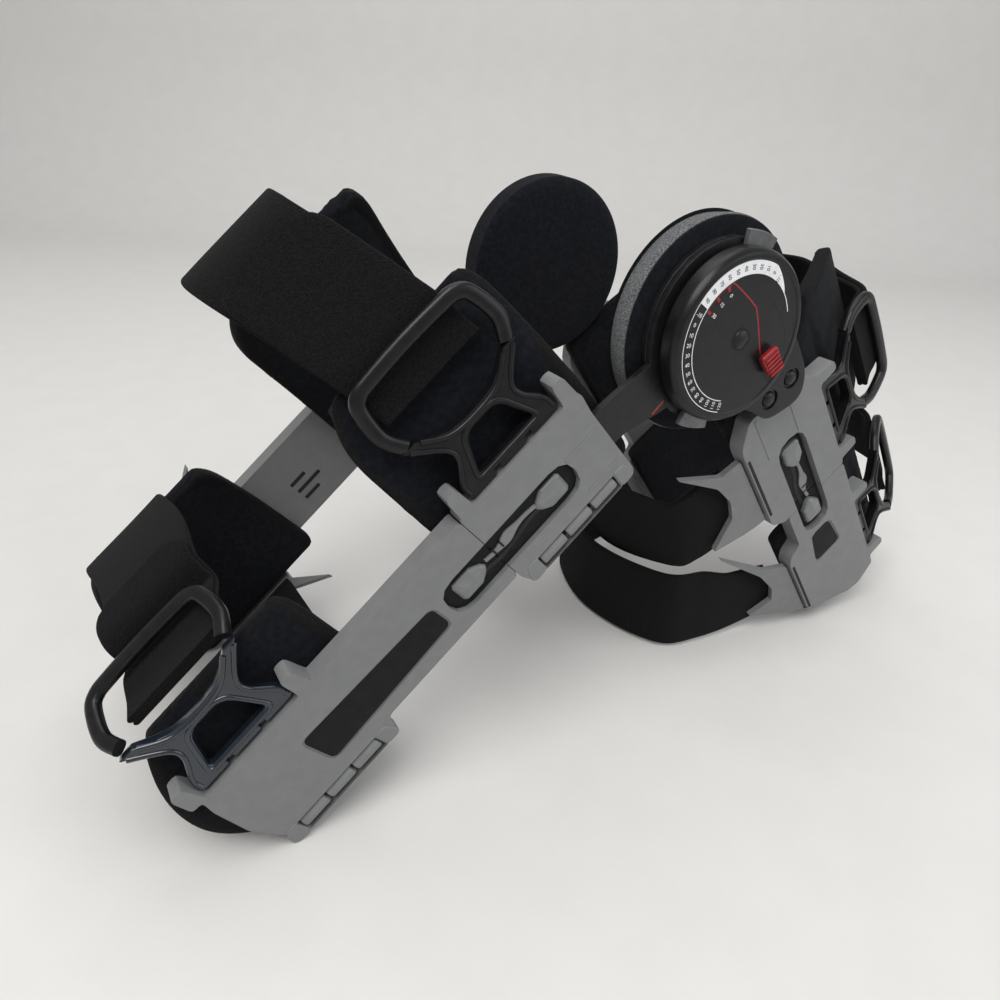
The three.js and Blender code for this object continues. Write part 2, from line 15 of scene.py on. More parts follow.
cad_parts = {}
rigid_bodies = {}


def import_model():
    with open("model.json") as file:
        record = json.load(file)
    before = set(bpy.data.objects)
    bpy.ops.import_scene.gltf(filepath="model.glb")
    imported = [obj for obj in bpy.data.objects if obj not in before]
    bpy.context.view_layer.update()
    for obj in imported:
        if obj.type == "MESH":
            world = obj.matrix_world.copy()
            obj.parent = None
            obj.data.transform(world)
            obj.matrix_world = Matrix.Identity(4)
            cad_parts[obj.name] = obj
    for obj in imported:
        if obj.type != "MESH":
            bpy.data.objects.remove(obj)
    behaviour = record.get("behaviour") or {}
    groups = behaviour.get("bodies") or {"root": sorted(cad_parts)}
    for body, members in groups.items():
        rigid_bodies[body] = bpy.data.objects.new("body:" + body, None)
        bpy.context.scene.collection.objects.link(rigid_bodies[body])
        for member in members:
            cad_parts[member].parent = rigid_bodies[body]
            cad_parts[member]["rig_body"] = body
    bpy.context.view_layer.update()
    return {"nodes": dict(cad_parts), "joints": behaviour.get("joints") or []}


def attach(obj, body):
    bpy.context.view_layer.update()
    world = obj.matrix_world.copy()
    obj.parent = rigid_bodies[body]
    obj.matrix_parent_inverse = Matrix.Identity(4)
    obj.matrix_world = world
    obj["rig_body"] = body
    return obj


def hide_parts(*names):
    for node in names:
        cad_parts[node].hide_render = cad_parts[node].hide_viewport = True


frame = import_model()

scene = bpy.context.scene
MM = 0.001
SIDES = ("near", "far")
ARMS = ("thigh", "calf")
joints = {joint["name"]: joint for joint in frame["joints"]}
hinge = Vector(joints["knee_hinge"]["pos_m"])
along = {arm: Vector(joints[f"{arm}_length"]["axis"]) for arm in ARMS}

# Sizes of the hard frame, in millimetres
FRAME_WIDTH = 160
HINGE_OFFSET = 12.8
CLEARANCE = 0.3
PLATE_THICKNESS = 9
CUFF_HALF_WIDTH = 28
STRUT_THICKNESS = 3
STRUT_DEPTH = {"thigh": 3.5, "calf": 6.8}
ARM_DEPTH = {"thigh": 0, "calf": 2}
WINDOW_HALF_WIDTH = 10
WINDOW_BEFORE = 13.4
WINDOW_AFTER = 64.6
UPPER_BUTTON = 1.3
LOWER_BUTTON = 49.9
BUTTON_LENGTH = 17
BUTTON_WIDTH = 12
BUTTON_PROUD = 0.5
DIAL_PROUD = 8
DIAL_BACK = 0.2
LUG_REACH = 62
LUG_HALF_WIDTH = 15
LUG_THICKNESS = 5
RIVET_AT = 46
RIVET_SPLIT = 15
CONDYLE_RADIUS = 49
CONDYLE_THICKNESS = 15
BUCKLE_LEAN = 14
BUCKLE_HEIGHT = 34.6

# Sizes of the soft goods, in millimetres
PAD_THICKNESS = 7
PAD_BACK = -26
PAD_STRAIGHT = 14
PAD_CURL = 0.029
PAD_CURL_POWER = 1.6
PAD_VOXEL = 2.6
PAD_CROWN = 2.6
PAD_CROWN_REACH = 22
PAD_FREE_FROM = 46
CLOTH_PRESSURE = 4
CLOTH_STEPS = 20
BINDING_HALF_WIDTH = 3.6
BINDING_HALF_DEPTH = 3.75
BINDING_INSET = 3.75
STRAP_THICKNESS = 3
STRAP_WIDTH = 50

CUFFS = {
    "thigh_proximal": dict(
        arm="thigh", body="thigh", hook=103.4, start=69.5, loop_lean=0,
        pad=(62, 150), pad_top={"near": 84, "far": 111}, arch=139, arch_skew=15,
        back_sag=-33, back_shear=0, back_twist=0,
    ),
    "thigh_distal": dict(
        arm="thigh", body="thigh_end", hook=256.7, start=138.8, loop_lean=60,
        pad=(205, 306), pad_top={"near": 54, "far": 62}, arch=75, arch_skew=-14,
        back_sag=-33, back_shear=0, back_twist=0,
    ),
    "calf_proximal": dict(
        arm="calf", body="calf", hook=101.1, start=56, loop_lean=0,
        pad=(52, 142), pad_top={"near": 89, "far": 84}, arch=106, arch_skew=0,
        back_sag=-82, back_shear=-0.15, back_twist=24,
    ),
    "calf_distal": dict(
        arm="calf", body="calf_end", hook=203.2, start=139.4, loop_lean=20,
        pad=(160, 246), pad_top={"near": 56, "far": 56}, arch=94, arch_skew=0,
        back_sag=-112, back_shear=0.68, back_twist=34,
    ),
}
WINDOWS = [(arm, side) for arm in ARMS for side in SIDES]
WINDOW_HOOK = {arm: CUFFS[f"{arm}_proximal"]["hook"] for arm in ARMS}


# Placing

def front_of(arm):
    """The direction to the front of the leg, square to the arm."""
    way = 1 if along[arm].x < 0 else -1
    return Vector((along[arm].z, 0, -along[arm].x)) * way


def side_matrix(side, sideways, upwards, offset):
    """A frame at the hinge in one side's outer face, with d running inwards."""
    inward = Vector((0, 1 if side == "near" else -1, 0))
    origin = hinge - inward * (FRAME_WIDTH / 2 * MM) + offset
    columns = [sideways * MM, inward * MM, upwards * MM, origin]
    return Matrix([[column[row] for column in columns] for row in range(3)] + [[0, 0, 0, 1]])


def arm_matrix(arm, side):
    """Turns a point (s, d, t) in arm millimetres into the row frame in metres."""
    front = front_of(arm)
    return side_matrix(side, along[arm], front, front * (HINGE_OFFSET * MM))


def dial_matrix(side):
    """The hinge's own frame: x to the thigh's side, d inwards, z up, in millimetres."""
    return side_matrix(side, Vector((1, 0, 0)), Vector((0, 0, 1)), Vector())


# Making of meshes

def linked(name, data):
    """A new object in the scene."""
    made = bpy.data.objects.new(name, data)
    scene.collection.objects.link(made)
    return made


def edit(mesh, action):
    """Opens a mesh for one action on it."""
    work = bmesh.new()
    work.from_mesh(mesh)
    action(work)
    work.to_mesh(mesh)
    work.free()


def faces_out(work):
    bmesh.ops.recalc_face_normals(work, faces=work.faces)


def piece(name, corners, faces, matrix=None):
    """A new mesh object whose faces point out."""
    mesh = bpy.data.meshes.new(name)
    mesh.from_pydata([tuple(corner) for corner in corners], [], faces)
    if matrix is not None:
        mesh.transform(matrix)
    edit(mesh, faces_out)
    return linked(name, mesh)


def settle(shape):
    """Applies the modifiers of a piece."""
    bpy.context.view_layer.update()
    graph = bpy.context.evaluated_depsgraph_get()
    made = bpy.data.meshes.new_from_object(shape.evaluated_get(graph))
    shape.modifiers.clear()
    shape.data = made
    return shape


def smooth(shape, degrees=32):
    shape.data.shade_smooth()
    shape.data.set_sharp_from_angle(angle=math.radians(degrees))
    return shape


def round_edges(shape, width, segments=2, degrees=28):
    """Rounds the sharp edges of a hard piece by width millimetres."""
    bevel = shape.modifiers.new("round", "BEVEL")
    bevel.width = width * MM
    bevel.segments = segments
    bevel.limit_method = "ANGLE"
    bevel.angle_limit = math.radians(degrees)
    bevel.use_clamp_overlap = True
    settle(shape)
    smooth(shape, 40)
    shape.modifiers.new("flat faces", "WEIGHTED_NORMAL").keep_sharp = True
    return settle(shape)


def cut_out(shape, cutter):
    """Takes the cutter's form out of a piece."""
    cut = shape.modifiers.new("cut", "BOOLEAN")
    cut.object = cutter
    cut.operation = "DIFFERENCE"
    settle(shape)
    bpy.data.objects.remove(cutter)
    return shape


def outline(points, radius=2.5, steps=5):
    """Corner points (x, y) or (x, y, radius) joined with rounded corners."""
    corners = [(Vector(point[:2]), point[2] if len(point) > 2 else radius) for point in points]
    line = []
    for i, (at, r) in enumerate(corners):
        before = corners[i - 1][0]
        after = corners[(i + 1) % len(corners)][0]
        cut_in = min(r, 0.45 * (before - at).length)
        cut_out = min(r, 0.45 * (after - at).length)
        start = at + (before - at).normalized() * cut_in
        end = at + (after - at).normalized() * cut_out
        for k in range(steps + 1):
            share = k / steps
            line.append(start * (1 - share) ** 2 + at * 2 * share * (1 - share) + end * share**2)
    return line


def prism(name, line, start, end, matrix):
    """An outline in the (s, t) plane, thickened between two depths."""
    count = len(line)
    corners = [(p.x, start, p.y) for p in line] + [(p.x, end, p.y) for p in line]
    faces = [list(range(count)), list(range(2 * count - 1, count - 1, -1))]
    faces += [[i, (i + 1) % count, count + (i + 1) % count, count + i] for i in range(count)]
    return piece(name, corners, faces, matrix)


def block(name, s, t, d, matrix, radius=0.6):
    line = outline([(s[0], t[0]), (s[1], t[0]), (s[1], t[1]), (s[0], t[1])], radius, 3)
    return prism(name, line, d[0], d[1], matrix)


def lathe(name, profile, matrix, centre=(0, 0), sides=96):
    """A closed profile of (radius, depth) turned round an axis along d."""
    corners = []
    for k in range(sides):
        angle = 2 * math.pi * k / sides
        cos, sin = math.cos(angle), math.sin(angle)
        for radius, depth in profile:
            corners.append((centre[0] + radius * cos, depth, centre[1] + radius * sin))
    count = len(profile)
    faces = []
    for k in range(sides):
        for i in range(count - 1):
            a = k * count + i
            b = ((k + 1) % sides) * count + i
            faces.append([a, a + 1, b + 1, b])

    def closed_up(work):
        bmesh.ops.remove_doubles(work, verts=work.verts, dist=1e-6)
        faces_out(work)

    shape = piece(name, corners, faces, matrix)
    edit(shape.data, closed_up)
    return smooth(shape)


def sweep(name, path, section, matrix=None, closed=False):
    """section(share) gives a loop of (side, out) offsets, set square to the path."""
    corners = []
    count = len(path)
    for i, (at, side, out) in enumerate(path):
        for a, b in section(i / (count - 1)):
            corners.append(at + side * a + out * b)
    ring = len(section(0))
    faces = []
    for i in range(count if closed else count - 1):
        here = i * ring
        there = ((i + 1) % count) * ring
        for k in range(ring):
            faces.append([here + k, here + (k + 1) % ring, there + (k + 1) % ring, there + k])
    if not closed:
        faces.append(list(range(ring)))
        faces.append(list(range((count - 1) * ring, count * ring)))
    return smooth(piece(name, corners, faces, matrix), 50)


def oval(a, b, count, power=1):
    """Points round an oval. A power under 1 squares it up."""
    turns = [2 * math.pi * k / count for k in range(count)]
    return [(a * math.copysign(abs(math.cos(u)) ** power, math.cos(u)),
             b * math.copysign(abs(math.sin(u)) ** power, math.sin(u))) for u in turns]


def headings(line, closed=False):
    """The direction of a line at each of its points."""
    around = [line[-1], *line, line[0]] if closed else [line[0], *line, line[-1]]
    steps = [after - before for before, after in zip(around, around[2:])]
    return [step / np.linalg.norm(step) for step in steps]


def joined(name, shapes):
    """Several shapes as one piece."""
    work = bmesh.new()
    for shape in shapes:
        work.from_mesh(shape.data)
    mesh = bpy.data.meshes.new(name)
    work.to_mesh(mesh)
    work.free()
    for shape in shapes:
        bpy.data.objects.remove(shape)
    return linked(name, mesh)


def evened(points, count=None, step=None):
    """The same line in even steps: count points, or on a closed line a step apart."""
    lengths = np.concatenate([[0], np.cumsum(np.linalg.norm(np.diff(points, axis=0), axis=1))])
    if step:
        count = int(lengths[-1] / step)
    places = np.linspace(0, lengths[-1], count, endpoint=not step)
    return np.stack([np.interp(places, lengths, row) for row in points.T], axis=1)


def catmull(points, count):
    """A smooth line through the points."""
    points = [np.array(point, float) for point in points]
    ends = [points[0], *points, points[-1]]
    fine = []
    for i in range(len(points) - 1):
        p0, p1, p2, p3 = ends[i : i + 4]
        for share in np.linspace(0, 1, 24, endpoint=False):
            fine.append(
                0.5 * (2 * p1 + (p2 - p0) * share + (2 * p0 - 5 * p1 + 4 * p2 - p3) * share**2
                       + (3 * p1 - p0 - 3 * p2 + p3) * share**3)
            )
    fine.append(points[-1])
    return evened(np.array(fine), count)


def even_loop(line, step):
    """A closed line of vectors with points a step apart."""
    return evened(np.array([list(p) for p in [*line, line[0]]]), step=step)


def reshaped(shape, move):
    """Moves every corner of a piece that is still in arm millimetres."""
    for corner in shape.data.vertices:
        corner.co = move(corner.co)
    return shape


# Materials

def material(name, dark, light, grain, roughness, bump, fine=5, spread=0.12, **sockets):
    """A procedural finish: mottled colour, uneven gloss and a fine raised grain."""
    made = bpy.data.materials.new(name)
    made.use_nodes = True
    tree = made.node_tree
    link = tree.links.new

    def adjusted(part, **values):
        for socket, value in values.items():
            part.inputs[socket.replace("_", " ")].default_value = value
        return part

    def noise_at(scale, detail):
        grains = adjusted(tree.nodes.new("ShaderNodeTexNoise"), Scale=scale, Detail=detail)
        link(place.outputs["Object"], grains.inputs["Vector"])
        return grains.outputs["Fac"]

    shader = adjusted(tree.nodes["Principled BSDF"], **sockets)
    place = tree.nodes.new("ShaderNodeTexCoord")
    ramp = tree.nodes.new("ShaderNodeValToRGB")
    for stop, position, colour in zip(ramp.color_ramp.elements, (0.38, 0.64), (dark, light)):
        stop.position = position
        stop.color = (*colour, 1)
    link(noise_at(grain, 6), ramp.inputs["Fac"])
    link(ramp.outputs["Color"], shader.inputs["Base Color"])
    gloss = tree.nodes.new("ShaderNodeMapRange")
    adjusted(gloss, To_Min=roughness - spread, To_Max=roughness + spread)
    link(noise_at(grain * 0.4, 4), gloss.inputs["Value"])
    link(gloss.outputs["Result"], shader.inputs["Roughness"])
    relief = adjusted(tree.nodes.new("ShaderNodeBump"), Strength=bump, Distance=MM)
    link(noise_at(grain * fine, 5), relief.inputs["Height"])
    link(relief.outputs["Normal"], shader.inputs["Normal"])
    return made


finishes = {}


def add_finish(name, slot, *look, **further):
    """A finish, kept under its name. The slot is not used."""
    finishes[name] = material(name, *look, **further)


add_finish("grey_plastic", "grey_plastic", (0.168, 0.171, 0.174), (0.182, 0.185, 0.189), 160, 0.5,
           0.08, fine=14, spread=0.06)
add_finish("dark_grey", "black_plastic", (0.008, 0.0085, 0.0095), (0.011, 0.0115, 0.013), 220, 0.55,
           0.06, fine=12, Specular_IOR_Level=0.12)
# Near black: dark seam and tick lines, and painted shade in gaps, slots and recesses.
add_finish("dark_lines_and_painted_shade", "black_plastic", (0.002, 0.002, 0.002), (0.004, 0.004, 0.004), 300, 0.7, 0.05)
add_finish("black_metal", "black_metal", (0.008, 0.008, 0.009), (0.012, 0.012, 0.0135), 260, 0.36, 0.1,
           fine=10, Specular_IOR_Level=0.3)
add_finish("black_plastic", "black_plastic", (0.005, 0.005, 0.006), (0.008, 0.008, 0.009), 190, 0.3,
           0.06, fine=12, spread=0.06, Specular_IOR_Level=0.3)
add_finish("glossy_plastic", "black_plastic", (0.006, 0.009, 0.014), (0.012, 0.018, 0.028), 60, 0.2,
           0.05, fine=20, Coat_Weight=0.5, Coat_Roughness=0.12)
add_finish("insert", "insert_plastic", (0.15, 0.154, 0.158), (0.175, 0.179, 0.183), 200, 0.36, 0.04,
           spread=0.06)
add_finish("smoky", "smoky_plastic", (0.07, 0.074, 0.078), (0.12, 0.125, 0.13), 140, 0.25, 0.05,
           Coat_Weight=0.3)
add_finish("red", "red_plastic", (0.22, 0.004, 0.007), (0.28, 0.009, 0.012), 220, 0.35, 0.06)
add_finish("white_print", "black_plastic", (0.74, 0.75, 0.77), (0.82, 0.83, 0.84), 250, 0.45, 0.02)
add_finish("black_print", "black_plastic", (0.008, 0.008, 0.01), (0.014, 0.014, 0.016), 250, 0.4, 0.02)
add_finish("foam", "grey_foam", (0.06, 0.063, 0.066), (0.2, 0.205, 0.21), 1500, 0.9, 0.6, fine=1.2,
           Specular_IOR_Level=0.2)
add_finish("pad_fabric", "pad_fabric", (0.0045, 0.005, 0.007), (0.0085, 0.0095, 0.0135), 420, 0.92,
           0.5, fine=6, spread=0.05, Specular_IOR_Level=0.12, Sheen_Weight=0.03, Sheen_Roughness=0.5)
add_finish("binding", "pad_fabric", (0.003, 0.003, 0.0035), (0.007, 0.007, 0.008), 900, 0.85, 0.45,
           fine=3, spread=0.06, Specular_IOR_Level=0.2)
add_finish("strap_pile", "strap_fabric", (0.0018, 0.0018, 0.002), (0.008, 0.008, 0.0085), 1300, 0.95,
           1.0, fine=1.6, spread=0.04, Specular_IOR_Level=0.1, Sheen_Weight=0.035, Sheen_Roughness=0.6)


def dress(shape, body, finish, *nodes, slot=None):
    """Gives a piece its finish and body, and hides the solids that it stands for."""
    shape.data.materials.clear()
    shape.data.materials.append(finishes[finish])
    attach(shape, body)
    if nodes:
        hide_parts(*nodes)
    return shape


def body_of_node(name):
    return frame["nodes"][name]["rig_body"]


# Hard pieces whose form comes straight from their solids

CHANNEL = dict(half=24.6, edge=-28.8, wall=-19.4, floor=5.2)


def barrel_channel(node):
    """A block that cuts the hinge channel into the back edge of a thigh plate."""
    cuff_name, side = node.split("_plate_")
    hook = CUFFS[cuff_name]["hook"]
    return block("channel", (hook - CHANNEL["half"], hook + CHANNEL["half"]),
                 (CHANNEL["edge"], CHANNEL["wall"]), (-1, CHANNEL["floor"]), arm_matrix("thigh", side), 0.8)


def softened(node, width, finish, segments=2):
    """A copy of a solid with its flat faces joined and its edges rounded."""
    mesh = frame["nodes"][node].data.copy()
    if node.startswith("thigh") and "plate" in node:
        shape = linked("uncut", mesh)
        mesh = cut_out(shape, barrel_channel(node)).data
        bpy.data.objects.remove(shape)
    mesh.materials.clear()

    def flat_joined(work):
        bmesh.ops.remove_doubles(work, verts=work.verts, dist=2e-6)
        bmesh.ops.dissolve_limit(
            work, angle_limit=math.radians(1), verts=work.verts, edges=work.edges)

    edit(mesh, flat_joined)
    shape = round_edges(linked(f"{node}_shell", mesh), width, segments)
    return dress(shape, body_of_node(node), finish, node)


for node in sorted(frame["nodes"]):
    if "plate" in node or "wing" in node:
        softened(node, 1.0, "grey_plastic", 3)
    elif "strut" in node:
        softened(node, 0.4, "black_metal")
    elif node.endswith("_buckle"):
        finish = "glossy_plastic" if node.startswith("thigh_distal") else "black_plastic"
        softened(node, 1.5, finish, 4)
    elif "_stop_" in node:
        softened(node, 0.5, "smoky")


# Loops, and raised rims on the buckles

BUCKLE_PROUD = 1.5
BUCKLE_THICKNESS = 5
RIM_RADIUS = 1.2
LOOP_HALF_WIDTH = 35
LOOP_HEIGHT = 31
LOOP_RAIL = 6.5


def tube(name, line, depth, section, closed=False):
    """A bar along a line of (s, t) points at one depth."""
    path = [
        (Vector((at[0], depth, at[1])), Vector((-heading[1], 0, heading[0])), Vector((0, 1, 0)))
        for at, heading in zip(line, headings(line, closed))
    ]
    return sweep(name, path, lambda share: section, closed=closed)


def leaned(at, degrees, depth, front):
    """Turns a point inwards about a line along the arm."""
    y, z = at.y - depth, at.z - front
    cos, sin = math.cos(math.radians(degrees)), math.sin(math.radians(degrees))
    return Vector((at.x, y * cos + z * sin + depth, z * cos - y * sin + front))


def on_buckle(cuff, at):
    """Turns a point inwards with the buckle."""
    return leaned(at, BUCKLE_LEAN, ARM_DEPTH[cuff["arm"]] + 4, CUFF_HALF_WIDTH)


def loop_frame(cuff_name):
    """A three-sided loop of thick rounded bar, swung on the buckle's two arms."""
    cuff = CUFFS[cuff_name]
    front = CUFF_HALF_WIDTH + BUCKLE_HEIGHT + CLEARANCE
    outer = ARM_DEPTH[cuff["arm"]] + BUCKLE_PROUD
    middle = LOOP_RAIL / 2
    wide = LOOP_HALF_WIDTH - middle
    high = LOOP_HEIGHT - middle
    half = [(wide - 4, 0), (wide, 9.5), (wide - 2, LOOP_HEIGHT - 8.5), (wide - 6, high - 1),
            (wide - 13, high)]
    points = [*half, (0, high + 0.6), *[(-x, y) for x, y in reversed(half)]]
    line = catmull([(cuff["hook"] + x, front + y) for x, y in points], 90)
    rail = oval(middle, BUCKLE_THICKNESS / 2, 20, 0.75)
    shape = tube(f"{cuff_name}_loop_frame", line, outer + BUCKLE_THICKNESS / 2, rail)

    def swung(at):
        return on_buckle(cuff, leaned(at, cuff["loop_lean"], outer + BUCKLE_THICKNESS, front))

    reshaped(shape, swung).data.transform(arm_matrix(cuff["arm"], "near"))
    dress(smooth(shape, 60), cuff["body"], "black_plastic", f"{cuff_name}_loop")


def buckle_rims(cuff_name):
    """Raised rims round the buckle's window, below its tips and in its two waists."""
    cuff = CUFFS[cuff_name]
    hook = cuff["hook"]
    edge = CUFF_HALF_WIDTH
    depth = ARM_DEPTH[cuff["arm"]] + BUCKLE_PROUD + 0.3
    hole = [(-18, 4.4), (-10.8, 21.4), (-6.5, 23.6), (6.5, 23.6), (10.8, 21.4), (18, 4.4)]
    window = even_loop(outline([(hook + x, edge + y) for x, y in hole], 3, 4), 1.5)
    shapes = [tube("window_rim", window, depth, oval(RIM_RADIUS - 0.05, RIM_RADIUS - 0.05, 12), True)]
    tip = BUCKLE_HEIGHT - 1.5
    open_rims = [[(-23, tip), (-13, tip - 6.9), (0, tip - 8.5), (13, tip - 6.9), (23, tip)]]
    for way in (-1, 1):
        waist = [(24.2, 3), (23.6, 8), (17.6, 16.5), (18.2, 23), (28.6, tip)]
        open_rims.append([(way * x, y) for x, y in waist])
    for k, points in enumerate(open_rims):
        line = catmull([(hook + x, edge + y) for x, y in points], 30)
        shapes.append(tube(f"open_rim_{k}", line, depth, oval(RIM_RADIUS, RIM_RADIUS, 12)))
    rims = reshaped(joined(f"{cuff_name}_buckle_rims", shapes), lambda at: on_buckle(cuff, at))
    rims.data.transform(arm_matrix(cuff["arm"], "near"))
    finish = "glossy_plastic" if cuff_name == "thigh_distal" else "black_plastic"
    dress(smooth(rims, 60), cuff["body"], finish)


for cuff_name in CUFFS:
    loop_frame(cuff_name)
    buckle_rims(cuff_name)


# Plate details

BARREL_RADIUS = 3.6
BARREL_LENGTH = 14.6
BARREL_PITCH = 16.3
BARREL_ACROSS = 4.4
BARREL_DEPTH = 3
EAR_CORNERS = [(24.8, -0.6, 2.5), (32.5, -0.6, 3), (33.5, 3, 2), (31, 9.5, 2), (24.8, 9.5, 1)]
EAR_DEPTH = (-0.5, 6.8)
HOOK_GAP_HALF_LENGTH = 24
HOOK_GAP = (-27.2, -25.4)
RIDGES = (7.6, -14.6)
RIDGE_HALF_WIDTH = 0.7
RIDGE_PROUD = 0.32
MARKS = (-6, 0, 6)
MARK_START = 34
MARK_END = 17
MARK_HALF_WIDTH = 1.1


def barrel(middle, matrix):
    """A round bar along the arm with softened ends."""
    shares = (0, 0.02, 0.06, 0.94, 0.98, 1)
    widths = (0.8, 0.93, 1, 1, 0.93, 0.8)
    start = middle - BARREL_LENGTH / 2
    across = BARREL_ACROSS - CUFF_HALF_WIDTH
    sideways, upwards = Vector((0, 1, 0)), Vector((0, 0, 1))
    path = [(Vector((start + BARREL_LENGTH * share, BARREL_DEPTH, across)), sideways, upwards)
            for share in shares]

    def section(share):
        size = BARREL_RADIUS * widths[round(share * (len(shares) - 1))]
        return oval(size, size, 24)

    return sweep("barrel", path, section, matrix)


def back_hinge(cuff_name, side):
    """Three barrels in the plate's back channel, between two ears."""
    cuff = CUFFS[cuff_name]
    matrix = arm_matrix("thigh", side)
    hook = cuff["hook"]
    edge = -CUFF_HALF_WIDTH
    barrels = [barrel(hook + k * BARREL_PITCH, matrix) for k in (-1, 0, 1)]
    dress(joined(f"{cuff_name}_barrels_{side}", barrels), cuff["body"], "grey_plastic")
    # A dark sheet on the channel's floor is painted shade in the recess behind the barrels.
    length = CHANNEL["half"] - 0.3
    floor = CHANNEL["floor"]
    shade = block(f"{cuff_name}_channel_{side}", (hook - length, hook + length),
                  (edge + 0.6, CHANNEL["wall"] - 0.2), (floor - 0.5, floor + 0.4), matrix)
    dress(shade, cuff["body"], "dark_lines_and_painted_shade")
    ears = []
    for way in (-1, 1):
        line = outline([(hook + way * x, edge + y, r) for x, y, r in EAR_CORNERS])
        ears.append(prism("ear", line, *EAR_DEPTH, matrix))
    rounded = round_edges(joined(f"{cuff_name}_back_ears_{side}", ears), 1.1, 3)
    dress(rounded, cuff["body"], "grey_plastic")


def hook_gap(cuff_name, side):
    """A dark strip of painted shade in the gap between a calf plate and the bar of its back wing."""
    cuff = CUFFS[cuff_name]
    outer = ARM_DEPTH["calf"]
    ends = (cuff["hook"] - HOOK_GAP_HALF_LENGTH, cuff["hook"] + HOOK_GAP_HALF_LENGTH)
    line = block(f"{cuff_name}_hook_gap_{side}", ends, HOOK_GAP, (outer - 0.06, outer + 1),
                 arm_matrix("calf", side), 0.8)
    dress(line, cuff["body"], "dark_lines_and_painted_shade")


def plate_ridges(cuff_name, side):
    """Two low ridges beside the window."""
    cuff = CUFFS[cuff_name]
    outer = ARM_DEPTH[cuff["arm"]]
    ends = (cuff["start"] + 2, cuff["hook"] - WINDOW_BEFORE + 1)
    ridges = [block("ridge", ends, (t - RIDGE_HALF_WIDTH, t + RIDGE_HALF_WIDTH),
                    (outer - RIDGE_PROUD, outer + 0.5), arm_matrix(cuff["arm"], side)) for t in RIDGES]
    low = round_edges(joined(f"{cuff_name}_ridges_{side}", ridges), 0.25)
    dress(low, cuff["body"], "grey_plastic")


def inner_marks(side):
    """Three short slots in the inner face of the long thigh plate, drawn as dark strips of painted shade.
    """
    start = CUFFS["thigh_distal"]["start"] + MARK_START
    depth = (PLATE_THICKNESS - 0.6, PLATE_THICKNESS + 0.08)
    slot_shades = [block("mark", (start + abs(t), start + MARK_END), (t - MARK_HALF_WIDTH, t + MARK_HALF_WIDTH),
                   depth, arm_matrix("thigh", side)) for t in MARKS]
    dress(joined(f"thigh_inner_marks_{side}", slot_shades), "thigh_end", "dark_lines_and_painted_shade")


for side in SIDES:
    inner_marks(side)
    for part in ("proximal", "distal"):
        back_hinge(f"thigh_{part}", side)
        hook_gap(f"calf_{part}", side)
    for arm in ARMS:
        plate_ridges(f"{arm}_proximal", side)


# Window: a dark recessed floor, a wavy slot, a leaf-shaped spring and two faceted buttons

def button(name, arm, side, middle, towards):
    """A five-sided button whose facets meet in a Y."""
    matrix = arm_matrix(arm, side)
    base = STRUT_DEPTH[arm] - CLEARANCE
    crest = ARM_DEPTH[arm] - BUTTON_PROUD
    half = BUTTON_LENGTH / 2
    width = BUTTON_WIDTH / 2
    front_half = [(-1, 0.72), (-0.86, 1), (0.3, 1), (0.85, 0.42)]
    shape_at = [*[(x, -y) for x, y in front_half], (1, 0), *reversed(front_half)]
    levels = [(1, base), (1, crest + 2.1), (0.86, crest + 1.1)]
    corners = [
        (middle + towards * x * half * grow, depth, y * width * grow)
        for grow, depth in levels for x, y in shape_at
    ]
    count = len(shape_at)
    fork = len(corners)
    tip = fork + 1
    corners.append((middle - towards * half * 0.35, crest, 0))
    corners.append((middle + towards * half * 0.72, crest + 0.5, 0))
    faces = [list(range(count))]
    for level in range(2):
        a = level * count
        faces += [[a + i, a + (i + 1) % count, a + count + (i + 1) % count, a + count + i]
                  for i in range(count)]
    top = 2 * count
    faces += [
        [fork, top + 1, top + 2, top + 3, tip], [tip, top + 3, top + 4], [tip, top + 4, top + 5],
        [tip, top + 5, top + 6, top + 7, fork], [fork, top + 7, top + 8], [fork, top + 8, top],
        [fork, top, top + 1],
    ]
    return round_edges(piece(name, corners, faces, matrix), 0.28, 2, 12)


def strip(name, arm, side, ends, depth, steps, edges):
    """A strip along the window's floor. edges(share) gives its front and back edge."""
    start, end = (WINDOW_HOOK[arm] + at for at in ends)
    base = STRUT_DEPTH[arm] - CLEARANCE
    sides = [[], []]
    for i in range(steps + 1):
        share = i / steps
        s = start + (end - start) * share
        front, back = edges(share)
        sides[0].append(Vector((s, front)))
        sides[1].insert(0, Vector((s, back)))
    return prism(name, sides[0] + sides[1], base - depth, base, arm_matrix(arm, side))


def spring_edges(share):
    """A slim leaf with one bulge."""
    middle = 1.2 + math.sin(share * 2 * math.pi)
    half = 1.3 + 2.6 * math.exp(-(((share - 0.56) / 0.16) ** 2))
    return middle + half, middle - half * 0.6


def slot_edges(share):
    """A narrow wave."""
    middle = -2.9 + 1.4 * math.sin(share * 2 * math.pi + 0.5)
    return middle + 1.1, middle - 1.1


